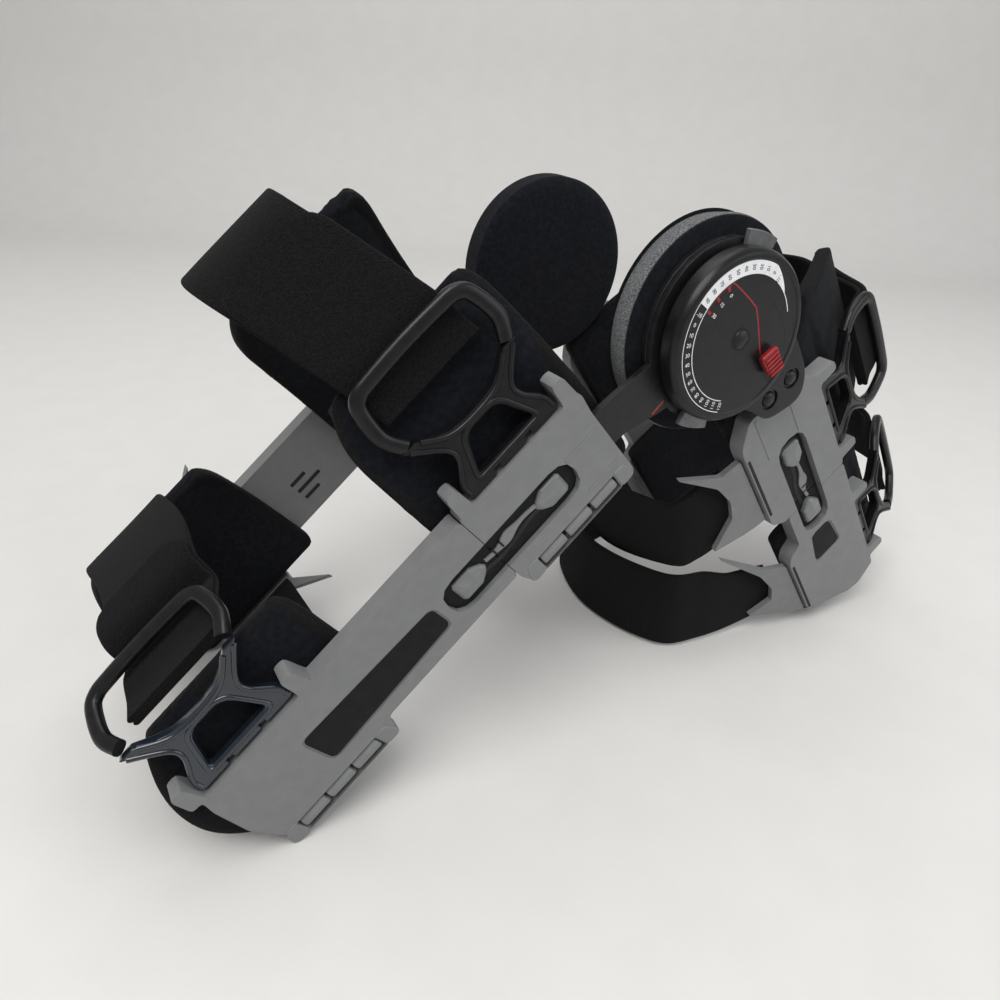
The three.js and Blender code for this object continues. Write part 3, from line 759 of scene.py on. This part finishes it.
def window(arm, side):
    hook = WINDOW_HOOK[arm]
    matrix = arm_matrix(arm, side)
    base = STRUT_DEPTH[arm] - CLEARANCE
    upper = CUFFS[f"{arm}_proximal"]
    lower = CUFFS[f"{arm}_distal"]
    split = lower["start"] - 0.3
    half = WINDOW_HALF_WIDTH - 0.5
    first = hook - WINDOW_BEFORE + 0.6
    last = hook + WINDOW_AFTER - 0.6
    floors = (("upper", upper, (first, half), (split, 0.2)),
              ("lower", lower, (split + 0.6, 0.2), (last, half)))
    for part, cuff, (start, bend_in), (end, bend_out) in floors:
        line = outline([(start, -half, bend_in), (end, -half, bend_out), (end, half, bend_out),
                        (start, half, bend_in)])
        recess = prism(f"{arm}_window_floor_{part}_{side}", line, base - 0.8, base - 0.05, matrix)
        dress(recess, cuff["body"], "dark_grey")
    # The wavy slot is a thin dark strip of painted shade on the window's floor.
    slot_ends = (UPPER_BUTTON + 4, LOWER_BUTTON - 4)
    slot_shade = strip(f"{arm}_window_slot_{side}", arm, side, slot_ends, 0.95, 40, slot_edges)
    dress(slot_shade, upper["body"], "dark_lines_and_painted_shade")
    spring_ends = (UPPER_BUTTON + BUTTON_LENGTH / 2 - 1, LOWER_BUTTON - BUTTON_LENGTH / 2 - 1)
    spring = strip(f"{arm}_spring_{side}", arm, side, spring_ends, 1.6, 30, spring_edges)
    dress(round_edges(spring, 0.3), upper["body"], "grey_plastic", slot="insert_plastic")
    upper_button = button(f"{arm}_upper_button_{side}", arm, side, hook + UPPER_BUTTON, 1)
    dress(upper_button, upper["body"], "insert", f"{arm}_window_insert_{side}")
    lower_button = button(f"{arm}_lower_button_{side}", arm, side, hook + LOWER_BUTTON, -1)
    dress(lower_button, lower["body"], "insert", f"{arm}_length_button_{side}")
    ticks = [block(f"tick_{k}", (hook + 30 + k * 4.4, hook + 31 + k * 4.4), (-0.6, 3.4),
                   (base - 1.75, base - 0.5), matrix, 0.2) for k in (0, 1)]
    dress(joined(f"{arm}_spring_ticks_{side}", ticks), upper["body"], "dark_lines_and_painted_shade")


for arm, side in WINDOWS:
    window(arm, side)


# Label recesses on the distal plates, left bare

def label_panel(arm, side):
    cuff = CUFFS[f"{arm}_distal"]
    outer = ARM_DEPTH[arm]
    start = WINDOW_HOOK[arm] + WINDOW_AFTER + 4
    end = cuff["hook"] - 8
    line = outline([(start + 1, -7, 3.4), (end - 1, -10, 3.4), (end - 1, 10, 3.4), (start + 1, 7, 3.4)])
    panel = prism(f"{arm}_label_panel_{side}", line, outer + 0.2, outer + 0.62, arm_matrix(arm, side))
    dress(round_edges(panel, 0.15), cuff["body"], "dark_grey")


for arm, side in WINDOWS:
    label_panel(arm, side)


# Dial

FACE = -7.6
PRINT = 0.08
BAND_OUTER = 33.2
BAND_INNER = 27.6
WHITE_START = 147
WHITE_TAPER = 66
WHITE_END = 40
BLACK_END = -100
DIGIT = 2.5
# First angle, and the step from number to number, in degrees
FLEXION_NUMBERS = (154.5, 8.1)
EXTENSION_NUMBERS = (142.5, -8.5)
STOP_NUMBERS = (119.6, 14.2)
STOP_RADIUS = 22.4
MARK_ANGLE = -136
LOCK_HEIGHT = 8.8
LOCK_ENDS = (15, 27)


def polar(radius, degrees):
    return Vector((radius * math.cos(math.radians(degrees)), radius * math.sin(math.radians(degrees))))


def arc_strip(name, start, end, inner, outer, side, lift=PRINT, steps=48):
    """A thin printed strip round the dial; inner and outer may change with the share along it."""
    def at(value, share):
        return value(share) if callable(value) else value

    shares = [i / steps for i in range(steps + 1)]
    line = [polar(at(outer, share), start + (end - start) * share) for share in shares]
    line += [polar(at(inner, share), start + (end - start) * share) for share in reversed(shares)]
    return prism(name, line, FACE - lift, FACE + 0.02, dial_matrix(side))


def print_line(name, points, width, side, lift=PRINT):
    """A thin printed line through points on the dial's face."""
    centres = catmull(points, 40)
    sides = [[], []]
    for at, heading in zip(centres, headings(centres)):
        across = np.array([-heading[1], heading[0]]) * width / 2
        sides[0].append(Vector(at + across))
        sides[1].insert(0, Vector(at - across))
    return prism(name, sides[0] + sides[1], FACE - lift, FACE + 0.02, dial_matrix(side))


def numeral(value, angle, radius, side):
    """A number whose line of writing runs towards the hub."""
    curve = bpy.data.curves.new(f"numeral_{value}", "FONT")
    curve.body = str(value)
    curve.size = DIGIT
    curve.align_x = "CENTER"
    curve.align_y = "CENTER"
    curve.extrude = 0.03
    holder = linked(curve.name, curve)
    bpy.context.view_layer.update()
    mesh = bpy.data.meshes.new_from_object(holder.evaluated_get(bpy.context.evaluated_depsgraph_get()))
    bpy.data.objects.remove(holder)
    reading = -polar(1, angle)
    upward = Vector((-reading.y, reading.x))
    if side == "far":
        upward = -upward
    centre = polar(radius, angle)
    local = Matrix((
        (reading.x, upward.x, 0, centre.x),
        (0, 0, -1, FACE - PRINT - 0.04),
        (reading.y, upward.y, 0, centre.y),
        (0, 0, 0, 1),
    ))
    mesh.transform(dial_matrix(side) @ local)
    return linked(f"numeral_{value}_{angle}", mesh)


def dial(side):
    body = "calf"
    matrix = dial_matrix(side)
    profile = [
        (0, FACE), (33.5, FACE), (33.9, FACE - 0.35), (34.8, FACE - 0.4), (36.2, FACE - 0.1),
        (37.3, FACE + 1.0), (37.9, FACE + 2.4), (38, FACE + 3.6), (38, DIAL_BACK), (0, DIAL_BACK),
    ]
    cover = lathe(f"dial_body_{side}", profile, matrix)
    dress(cover, body, "black_plastic", f"dial_cover_{side}")

    calf = arm_matrix("calf", side)
    lug_line = outline([
        (6, -HINGE_OFFSET - 30, 3), (RIVET_AT, -LUG_HALF_WIDTH - 2, 8),
        (LUG_REACH - 6, -LUG_HALF_WIDTH + 2, 8), (LUG_REACH, LUG_HALF_WIDTH - 6, 9),
        (RIVET_AT + 4, LUG_HALF_WIDTH + 2, 8), (6, -HINGE_OFFSET + 30, 3),
    ], 6, 8)
    lug = prism(f"dial_lug_{side}", lug_line, DIAL_BACK - LUG_THICKNESS, DIAL_BACK, calf)
    rivets = [(RIVET_AT, way * RIVET_SPLIT / 2) for way in (-1, 1)]
    level = DIAL_BACK - LUG_THICKNESS
    hole = [(0, level + 1.5), (4.9, level + 1.5), (4.9, -9), (0, -9)]
    cut_out(lug, joined("cutter", [lathe("hole", hole, calf, at, 40) for at in rivets]))
    dress(round_edges(lug, 0.7), body, "black_plastic")
    dome = [(0, level - 0.7), (1.6, level - 0.6), (2.8, level - 0.2), (3.6, level + 0.6),
            (3.9, level + 1.6), (0, level + 1.6)]
    heads = [lathe("head", dome, calf, at, 40) for at in rivets]
    dress(smooth(joined(f"dial_rivets_{side}", heads)), body, "black_metal")

    # A thin dark ring of painted shade round the hub stands for a well.
    well_shade = [(0, FACE + 0.02), (5.6, FACE + 0.02), (5.6, FACE - 0.12), (5.3, FACE - 0.2), (5.0, FACE - 0.12),
            (4.9, FACE - 0.05), (0, FACE - 0.05)]
    dress(lathe(f"dial_well_{side}", well_shade, matrix, sides=48), body, "dark_lines_and_painted_shade")
    hub = [(0, FACE - 1.7), (1.8, FACE - 1.55), (3.3, FACE - 1.1), (4.2, FACE - 0.4), (4.4, FACE + 0.1),
           (0, FACE + 0.1)]
    dress(lathe(f"dial_hub_{side}", hub, matrix, sides=48), body, "black_metal")

    def taper(share):
        return BAND_OUTER - (BAND_OUTER - BAND_INNER - 0.4) * share

    white = [
        arc_strip("white_band", WHITE_START, WHITE_TAPER, BAND_INNER, BAND_OUTER, side),
        arc_strip("white_tail", WHITE_TAPER, WHITE_END, BAND_INNER, taper, side),
        arc_strip("white_line", WHITE_END, 20, BAND_INNER, BAND_INNER + 0.4, side),
        arc_strip("outer_line", WHITE_START, 360 + BLACK_END, BAND_OUTER - 0.35, BAND_OUTER, side),
        arc_strip("inner_line", WHITE_START, 360 + BLACK_END, BAND_INNER, BAND_INNER + 0.35, side),
    ]
    first, step = FLEXION_NUMBERS
    for k, value in enumerate(range(-10, 130, 10)):
        white.append(numeral(value, first + k * step, (BAND_OUTER + BAND_INNER) / 2, side))
    first, step = STOP_NUMBERS
    for k, value in enumerate((0, 15, 30)):
        white.append(numeral(value, first + k * step, STOP_RADIUS, side))
    dress(joined(f"dial_white_print_{side}", white), body, "white_print")

    black = []
    first, step = EXTENSION_NUMBERS
    for k, value in enumerate(range(90, -20, -10)):
        black.append(numeral(value, first + k * step, 30.5 - max(0, k - 8) * 0.7, side))
    dress(joined(f"dial_black_print_{side}", black), body, "black_print")

    step = STOP_NUMBERS[1]
    ticks = [
        arc_strip(f"tick_{k}", 118.4 + k * step, 121.4 + k * step, 24.6, BAND_INNER - 0.1, side, steps=3)
        for k in range(3)
    ]
    ticks.append(arc_strip("tick_arc", 119, 150, BAND_INNER - 0.5, BAND_INNER - 0.05, side))
    route = [polar(26.4, 118), polar(26.6, 113), polar(15.4, 78), polar(12.4, 56), polar(15.2, -26),
             polar(18.5, -30)]
    ticks.append(print_line("line", route, 0.75, side))
    dress(joined(f"dial_red_print_{side}", ticks), body, "red")
    bend = [polar(27, 108), polar(21.5, 70), polar(22.5, 30), polar(27.2, 2), polar(30, -14)]
    seam = print_line(f"dial_seam_{side}", bend, 0.3, side, 0.03)
    dress(seam, body, "dark_lines_and_painted_shade")


def lock(side):
    """The red slide, with ribs across its head."""
    matrix = arm_matrix("calf", side)
    middle = LOCK_HEIGHT - HINGE_OFFSET
    s0, s1 = LOCK_ENDS
    top = -DIAL_PROUD - CLEARANCE - 4
    line = outline([(s0, middle - 5), (s1, middle - 4), (s1, middle + 4), (s0, middle + 5)], 1.8, 5)
    head = prism(f"lock_head_{side}", line, top + 0.5, -DIAL_PROUD - CLEARANCE, matrix)
    stem = block("stem", (s0 + 2.3, s1 - 2), (middle - 2.5, middle + 2.5), (-8.6, -5.9), matrix)
    ribs = [block(f"rib_{k}", (s0 + 1.6 + k * 2.2, s0 + 2.9 + k * 2.2), (middle - 4, middle + 4),
                  (top - 0.1, top + 1.2), matrix, 0.5) for k in range(5)]
    parts = [round_edges(head, 1.1, 3), stem, *[round_edges(rib, 0.4) for rib in ribs]]
    whole = joined(f"lock_slide_{side}", parts)
    dress(whole, f"lock_{side}", "red", f"dial_lock_{side}")
    # A thin dark patch of painted shade on the dial's face, under and beside the red slide, stands for its
    # recess.
    recess = block(f"lock_recess_shade_{side}", (s0 - 0.6, s1 + 5.6), (middle - 4.2, middle + 4.2),
                   (FACE - 0.05, FACE + 0.1), matrix, 1.5)
    dress(recess, "calf", "dark_lines_and_painted_shade")


def condyle_pad(side):
    """A disc of foam between two faces of brushed fabric."""
    matrix = dial_matrix(side)
    front_face = STRUT_DEPTH["calf"] + STRUT_THICKNESS + CLEARANCE
    back_face = front_face + CONDYLE_THICKNESS
    r = CONDYLE_RADIUS
    core = [(0, front_face + 1), (r - 0.8, front_face + 1), (r - 0.2, front_face + 3),
            (r - 1.4, back_face - 4), (r - 3, back_face - 1), (0, back_face - 1)]
    wrap = {"near": 1.3, "far": CONDYLE_THICKNESS - 3}[side]
    foam = lathe(f"condyle_foam_{side}", core, matrix)
    dress(foam, "calf", "foam", f"condyle_pad_{side}")
    outer = [(0, front_face), (r - 3, front_face), (r - 1.2, front_face + 0.4),
             (r - 0.7, front_face + 1.2), (r - 2, front_face + 1.3), (0, front_face + 1.3)]
    dress(lathe(f"condyle_face_{side}", outer, matrix), "calf", "pad_fabric")
    hem = back_face - wrap - 2.2
    inner = [(0, back_face + 1.5), (r * 0.5, back_face + 1.1), (r - 9, back_face + 0.4),
             (r - 4.6, back_face - 0.4), (r - 1.8, back_face - 1.4), (r - 0.3, back_face - 3),
             (r + 0.1, hem + 0.2), (r - 1.5, hem), (0, hem)]
    dress(lathe(f"condyle_lining_{side}", inner, matrix), "calf", "pad_fabric")


def strut_mark(side):
    """The red pointer on the thigh strut's neck."""
    level = STRUT_DEPTH["thigh"]
    start = polar(39.6, MARK_ANGLE)
    end = polar(47.4, MARK_ANGLE)
    across = polar(0.6, MARK_ANGLE + 90)
    line = [start + across, end + across, end - across, start - across]
    mark = prism(f"strut_mark_{side}", line, level - PRINT, level + 0.02, dial_matrix(side))
    dress(mark, "thigh", "red")


for side in SIDES:
    dial(side)
    lock(side)
    condyle_pad(side)
    strut_mark(side)


# Pads

def pad_depth(cuff, height):
    """The depth of a pad's middle, which curls inwards as it rises."""
    flat = ARM_DEPTH[cuff["arm"]] + PLATE_THICKNESS + CLEARANCE + PAD_THICKNESS / 2
    return flat + PAD_CURL * max(0, height - PAD_STRAIGHT) ** PAD_CURL_POWER


def pad_outline(cuff_name, side):
    cuff = CUFFS[cuff_name]
    a, b = cuff["pad"]
    top = cuff["pad_top"][side]
    if cuff_name == "calf_proximal":
        flap = [(a + 6, top + 4, 12), (a - 6, top + 4, 12), (a - 14, 50, 6), (a, 36, 6)]
    else:
        flap = [(a + 10, top + 4, 12), (a, top - 4, 14)]
    if cuff_name == "thigh_distal":
        nose = [(b - 15, PAD_BACK - 2, 12), (b, 2, 14), (b - 6, top - 22, 14), (b - 26, top + 4, 16)]
    else:
        nose = [(b, PAD_BACK - 2, 10), (b, top - 14, 14), (b - 14, top + 4, 10)]
    line = outline([(a, PAD_BACK - 2, 10), *nose, *flap], 10, 8)
    return [Vector((p.x, min(max(p.y, PAD_BACK), top))) for p in line]


def edge_binding(cuff_name, side):
    """Folded tape round the edge of a pad."""
    cuff = CUFFS[cuff_name]
    loop_line = even_loop(pad_outline(cuff_name, side), 2.5)
    count = len(loop_line)
    path = []
    for i, at in enumerate(loop_line):
        heading = loop_line[(i + 2) % count] - loop_line[i - 2]
        heading = heading / np.linalg.norm(heading)
        inward = np.array([-heading[1], heading[0]])
        s, t = at + inward * BINDING_INSET
        slope = pad_depth(cuff, t + 0.5) - pad_depth(cuff, t - 0.5)
        surface = Vector((inward[0], inward[1] * slope, inward[1])).normalized()
        forward = Vector((heading[0], heading[1] * slope, heading[1])).normalized()
        path.append((Vector((s, pad_depth(cuff, t), t)), surface, forward.cross(surface)))

    tape = oval(BINDING_HALF_WIDTH, BINDING_HALF_DEPTH, 16, 0.6)
    matrix = arm_matrix(cuff["arm"], side)
    return sweep(f"{cuff_name}_binding_{side}", path, lambda share: tape, matrix, closed=True)


def edge_distance(points, line):
    """How far each (s, t) point lies from a closed line."""
    corners = np.array([list(p) for p in line])
    nearest = np.full(len(points), 1e9)
    for a, b in zip(corners, np.roll(corners, -1, axis=0)):
        step = b - a
        length = step @ step
        if length < 1e-9:
            continue
        share = np.clip(((points - a) @ step) / length, 0, 1)
        nearest = np.minimum(nearest, np.linalg.norm(points - a - share[:, None] * step, axis=1))
    return nearest


def coordinates(mesh):
    places = np.zeros(len(mesh.vertices) * 3, np.float32)
    mesh.vertices.foreach_get("co", places)
    return places.reshape(-1, 3).astype(float)


def swell(shape, cuff_name, side):
    """Fills a pad by cloth pressure, with the move held small near its edge and its plate."""
    cuff = CUFFS[cuff_name]
    before = coordinates(shape.data)
    cloth = shape.modifiers.new("cloth", "CLOTH")
    cloth.settings.use_pressure = True
    cloth.settings.uniform_pressure_force = CLOTH_PRESSURE
    cloth.settings.effector_weights.gravity = 0
    cloth.point_cache.frame_start = 1
    cloth.point_cache.frame_end = CLOTH_STEPS
    for step in range(1, CLOTH_STEPS + 1):
        scene.frame_set(step)
    settle(shape)
    scene.frame_set(1)
    move = coordinates(shape.data) - before
    matrix = arm_matrix(cuff["arm"], side)
    to_arm, to_row = np.array(matrix.inverted()), np.array(matrix)
    local = before @ to_arm[:3, :3].T + to_arm[:3, 3]
    step = move @ to_arm[:3, :3].T
    inside = edge_distance(local[:, [0, 2]], pad_outline(cuff_name, side))
    allowed = PAD_CROWN * np.clip(inside / PAD_CROWN_REACH, 0, 1) ** 0.7
    towards_plate = (step[:, 1] < 0) & (local[:, 2] < PAD_FREE_FROM)
    allowed = np.where(towards_plate, 0.15, allowed)
    length = np.linalg.norm(step, axis=1)
    step *= (np.minimum(length, allowed) / np.maximum(length, 1e-6))[:, None]
    for i, place in enumerate(local):
        wave = noise.noise(Vector(place) * 0.03) * 0.9 + noise.noise(Vector(place) * 0.08) * 0.35
        if local[i, 1] > pad_depth(cuff, local[i, 2]):
            step[i, 1] += wave * min(1, inside[i] / 12)
    after = (local + step) @ to_row[:3, :3].T + to_row[:3, 3]
    shape.data.vertices.foreach_set("co", after.astype(np.float32).ravel())
    shape.data.update()
    return shape


def pad(cuff_name, side):
    cuff = CUFFS[cuff_name]
    node = f"{cuff_name}_pad_{side}"
    mesh = frame["nodes"][node].data.copy()
    mesh.materials.clear()
    shape = linked(f"{cuff_name}_cushion_{side}", mesh)
    remesh = shape.modifiers.new("remesh", "REMESH")
    remesh.mode = "VOXEL"
    remesh.voxel_size = PAD_VOXEL * MM
    settle(shape)
    swell(shape, cuff_name, side)
    fine = shape.modifiers.new("fine", "SUBSURF")
    fine.levels = 1
    fine.render_levels = 1
    settle(shape)
    smooth(shape, 80)
    dress(shape, cuff["body"], "pad_fabric", node)
    tape = edge_binding(cuff_name, side)
    dress(tape, cuff["body"], "binding")


for cuff_name in CUFFS:
    for side in SIDES:
        pad(cuff_name, side)


# Straps

DOUBLED_SHARE = 0.33
FAR_HEIGHT = 60
RUFFLE = 0.5
RUFFLE_SCALE = 26
LONG_DROP = -60


def strap_path(points, count, centre):
    """Frames along a (depth, front) route in a cuff's arm coordinates."""
    line = catmull(points, count)
    along_arm = Vector((1, 0, 0))
    return [
        (Vector((centre, depth, front)), along_arm, Vector((0, -heading[1], heading[0])))
        for (depth, front), heading in zip(line, headings(line))
    ]


def strap_section(thickness, lift=0, rounding=0, stand_off=0):
    """A flat section with round edges.

    lift moves it off the path, rounding rounds the corners of the strap's end, and stand_off lifts
    that end further.
    """
    r = thickness / 2
    cross = 14
    bends = [math.pi * k / 6 for k in range(1, 6)]

    def section(share):
        near_end = max(0, (share - 1 + rounding) / rounding) if rounding else 0
        half = STRAP_WIDTH / 2 - 8 * (1 - math.sqrt(max(0, 1 - near_end**2)))
        level = lift + stand_off * max(0, (share - 0.5) * 2) ** 2
        upper = [(-half + r + (2 * half - 2 * r) * k / cross, r + level) for k in range(cross + 1)]
        right = [(half - r + r * math.sin(a), r * math.cos(a) + level) for a in bends]
        lower = [(x, level - r) for x, _ in reversed(upper)]
        left = [(-half + r - r * math.sin(a), -r * math.cos(a) + level) for a in bends]
        return upper + right + lower + left

    return section


def ruffle(shape):
    """Slight unevenness of a soft piece."""
    for corner in shape.data.vertices:
        at = corner.co * RUFFLE_SCALE
        shift = [noise.noise(at + Vector(apart)) for apart in ((0, 0, 0), (7, 3, 1), (2, 9, 5))]
        corner.co += Vector(shift) * RUFFLE * MM


def front_strap(cuff_name):
    """The strap from the loop over the leg, its first part folded back on itself."""
    cuff = CUFFS[cuff_name]
    turn = math.radians(BUCKLE_LEAN)
    fold = math.radians(BUCKLE_LEAN + cuff["loop_lean"])
    reach = BUCKLE_HEIGHT + CLEARANCE
    start = ARM_DEPTH[cuff["arm"]] + 4
    loop_depth = start + math.sin(turn) * reach
    loop_front = CUFF_HALF_WIDTH + math.cos(turn) * reach

    def in_loop(out, under):
        return (loop_depth + math.sin(fold) * out + math.cos(fold) * under,
                loop_front + math.cos(fold) * out - math.sin(fold) * under)

    def skewed(at):
        across = min(max(at.y / FRAME_WIDTH, 0), 1)
        return Vector((at.x + cuff["arch_skew"] * math.sin(math.pi * across) ** 2, at.y, at.z))

    far = FRAME_WIDTH - ARM_DEPTH[cuff["arm"]]
    top = cuff["arch"]
    points = [
        in_loop(10, 3.65), in_loop(18, 5.6), in_loop(27, 6.3), in_loop(36, 9.3),
        (FRAME_WIDTH * 0.36, loop_front + (top - loop_front) * 0.86), (FRAME_WIDTH * 0.52, top),
        (FRAME_WIDTH * 0.74, top - (top - FAR_HEIGHT) * 0.2),
        (FRAME_WIDTH * 0.87, FAR_HEIGHT + (top - FAR_HEIGHT) * 0.3),
        (far - 17.5, FAR_HEIGHT), (far - 13.2, 46), (far - 10.8, 37),
    ]
    count = 110
    path = strap_path(points, count, cuff["hook"])
    doubled = int(count * DOUBLED_SHARE)
    under = sweep(f"{cuff_name}_strap_under", path, strap_section(2.6, -1.2))
    folded = strap_section(2.8, 1.45, rounding=0.14, stand_off=3.5)
    over = sweep(f"{cuff_name}_strap_over", path[:doubled], folded)
    for shape in (under, over):
        reshaped(shape, skewed).data.transform(arm_matrix(cuff["arm"], "near"))
        ruffle(shape)
        dress(shape, cuff["body"], "strap_pile")
    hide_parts(f"{cuff_name}_front_strap")


def back_strap(cuff_name):
    """The strap behind the leg, which slips and turns upright as it drops."""
    cuff = CUFFS[cuff_name]
    depth = ARM_DEPTH[cuff["arm"]]
    sag = cuff["back_sag"]
    hook = cuff["hook"]
    edge = -CUFF_HALF_WIDTH
    if sag < LONG_DROP:
        near = [(depth + 10.6, edge - 10), (depth + 13.4, edge - 20), (depth + 19, (sag + edge - 20) / 2),
                (depth + 30, sag * 0.9)]
    else:
        near = [(depth + 18, edge), (depth + 30, (sag + edge) / 2)]

    def dropped(at):
        drop = edge - at.z
        across = at.x - hook
        full = min(max((drop - 26) / 36, 0), 1)
        twist = math.radians(cuff["back_twist"]) * full * full * (3 - 2 * full)
        return Vector((hook + across * math.cos(twist) - cuff["back_shear"] * drop, at.y,
                       at.z - across * math.sin(twist)))

    far = [(FRAME_WIDTH - d, t) for d, t in reversed(near)]
    path = strap_path([*near, (FRAME_WIDTH / 2, sag), *far], 90, hook)
    shape = sweep(f"{cuff_name}_strap_back", path, strap_section(STRAP_THICKNESS - 0.2))
    reshaped(shape, dropped).data.transform(arm_matrix(cuff["arm"], "near"))
    ruffle(shape)
    dress(shape, cuff["body"], "strap_pile", f"{cuff_name}_back_strap")


for cuff_name in CUFFS:
    front_strap(cuff_name)
    back_strap(cuff_name)


# Floor, light and camera

def stage():
    """A floor that bends up into a back wall, in metres."""
    size = 3.0
    rise = 1.6
    wall = 1.1
    steps = 12
    bend = 0.35
    turns = [math.pi / 2 * k / steps for k in range(steps + 1)]
    profile = [(-size, 0)]
    profile += [(wall + bend * math.sin(turn), bend * (1 - math.cos(turn))) for turn in turns]
    profile.append((wall + bend, bend + rise))
    corners = []
    for along_view, height in profile:
        corners += [(-size, along_view, height), (size, along_view, height)]
    faces = [[2 * i, 2 * i + 1, 2 * i + 3, 2 * i + 2] for i in range(len(profile) - 1)]
    floor_piece = piece("floor", corners, faces)
    floor_piece.data.transform(Matrix.Rotation(math.radians(CAMERA_TURN[0]), 4, "Z"))
    smooth(floor_piece, 60)
    floor_piece.data.materials.append(material(
        "floor", (0.66, 0.65, 0.635), (0.675, 0.665, 0.65), 30, 0.9, 0.12, fine=8, spread=0.03))


def light(name, place, aim, size, power, colour):
    lamp = bpy.data.lights.new(name, "AREA")
    lamp.shape = "DISK"
    lamp.size = size
    lamp.energy = power
    lamp.color = colour
    holder = linked(name, lamp)
    holder.location = place
    holder.rotation_mode = "QUATERNION"
    holder.rotation_quaternion = (Vector(aim) - Vector(place)).to_track_quat("-Z", "Y")


CAMERA_OFFSET = Vector((-0.257593, -0.307844, 0.091684))
CAMERA_TURN = (-32.445, -28.577, 3.195)
LENS = 27.59


def camera():
    """Stands at the photograph's angle. The turn is yaw, pitch and roll in degrees."""
    yaw, pitch, roll = (math.radians(angle) for angle in CAMERA_TURN)
    level = math.cos(pitch)
    forward = Vector((-math.sin(yaw) * level, math.cos(yaw) * level, math.sin(pitch)))
    right = Vector((math.cos(yaw), math.sin(yaw), 0))
    up = right.cross(forward)
    turned_right = right * math.cos(roll) + up * math.sin(roll)
    turned_up = up * math.cos(roll) - right * math.sin(roll)
    made = bpy.data.cameras.new("camera")
    made.lens = LENS
    made.sensor_width = 36
    made.clip_start = 0.01
    holder = linked("camera", made)
    rotation = Matrix([turned_right, turned_up, -forward]).transposed()
    holder.matrix_world = Matrix.Translation(hinge + CAMERA_OFFSET) @ rotation.to_4x4()
    scene.camera = holder


stage()
camera()
light("key", (-0.7, -0.5, 1.5), (0, 0, 0.1), 1.2, 20, (1, 0.985, 0.96))
light("fill", (0.9, -1.1, 0.9), (0, 0, 0.1), 1.4, 8, (0.96, 0.98, 1))
light("top", (0.1, 0.5, 1.7), (0, 0, 0.1), 1.4, 8, (1, 1, 1))
world = bpy.data.worlds.new("studio")
world.use_nodes = True
background = world.node_tree.nodes["Background"].inputs
background["Color"].default_value = (0.93, 0.94, 0.95, 1)
background["Strength"].default_value = 0.41
scene.world = world
scene.view_settings.view_transform = "Standard"
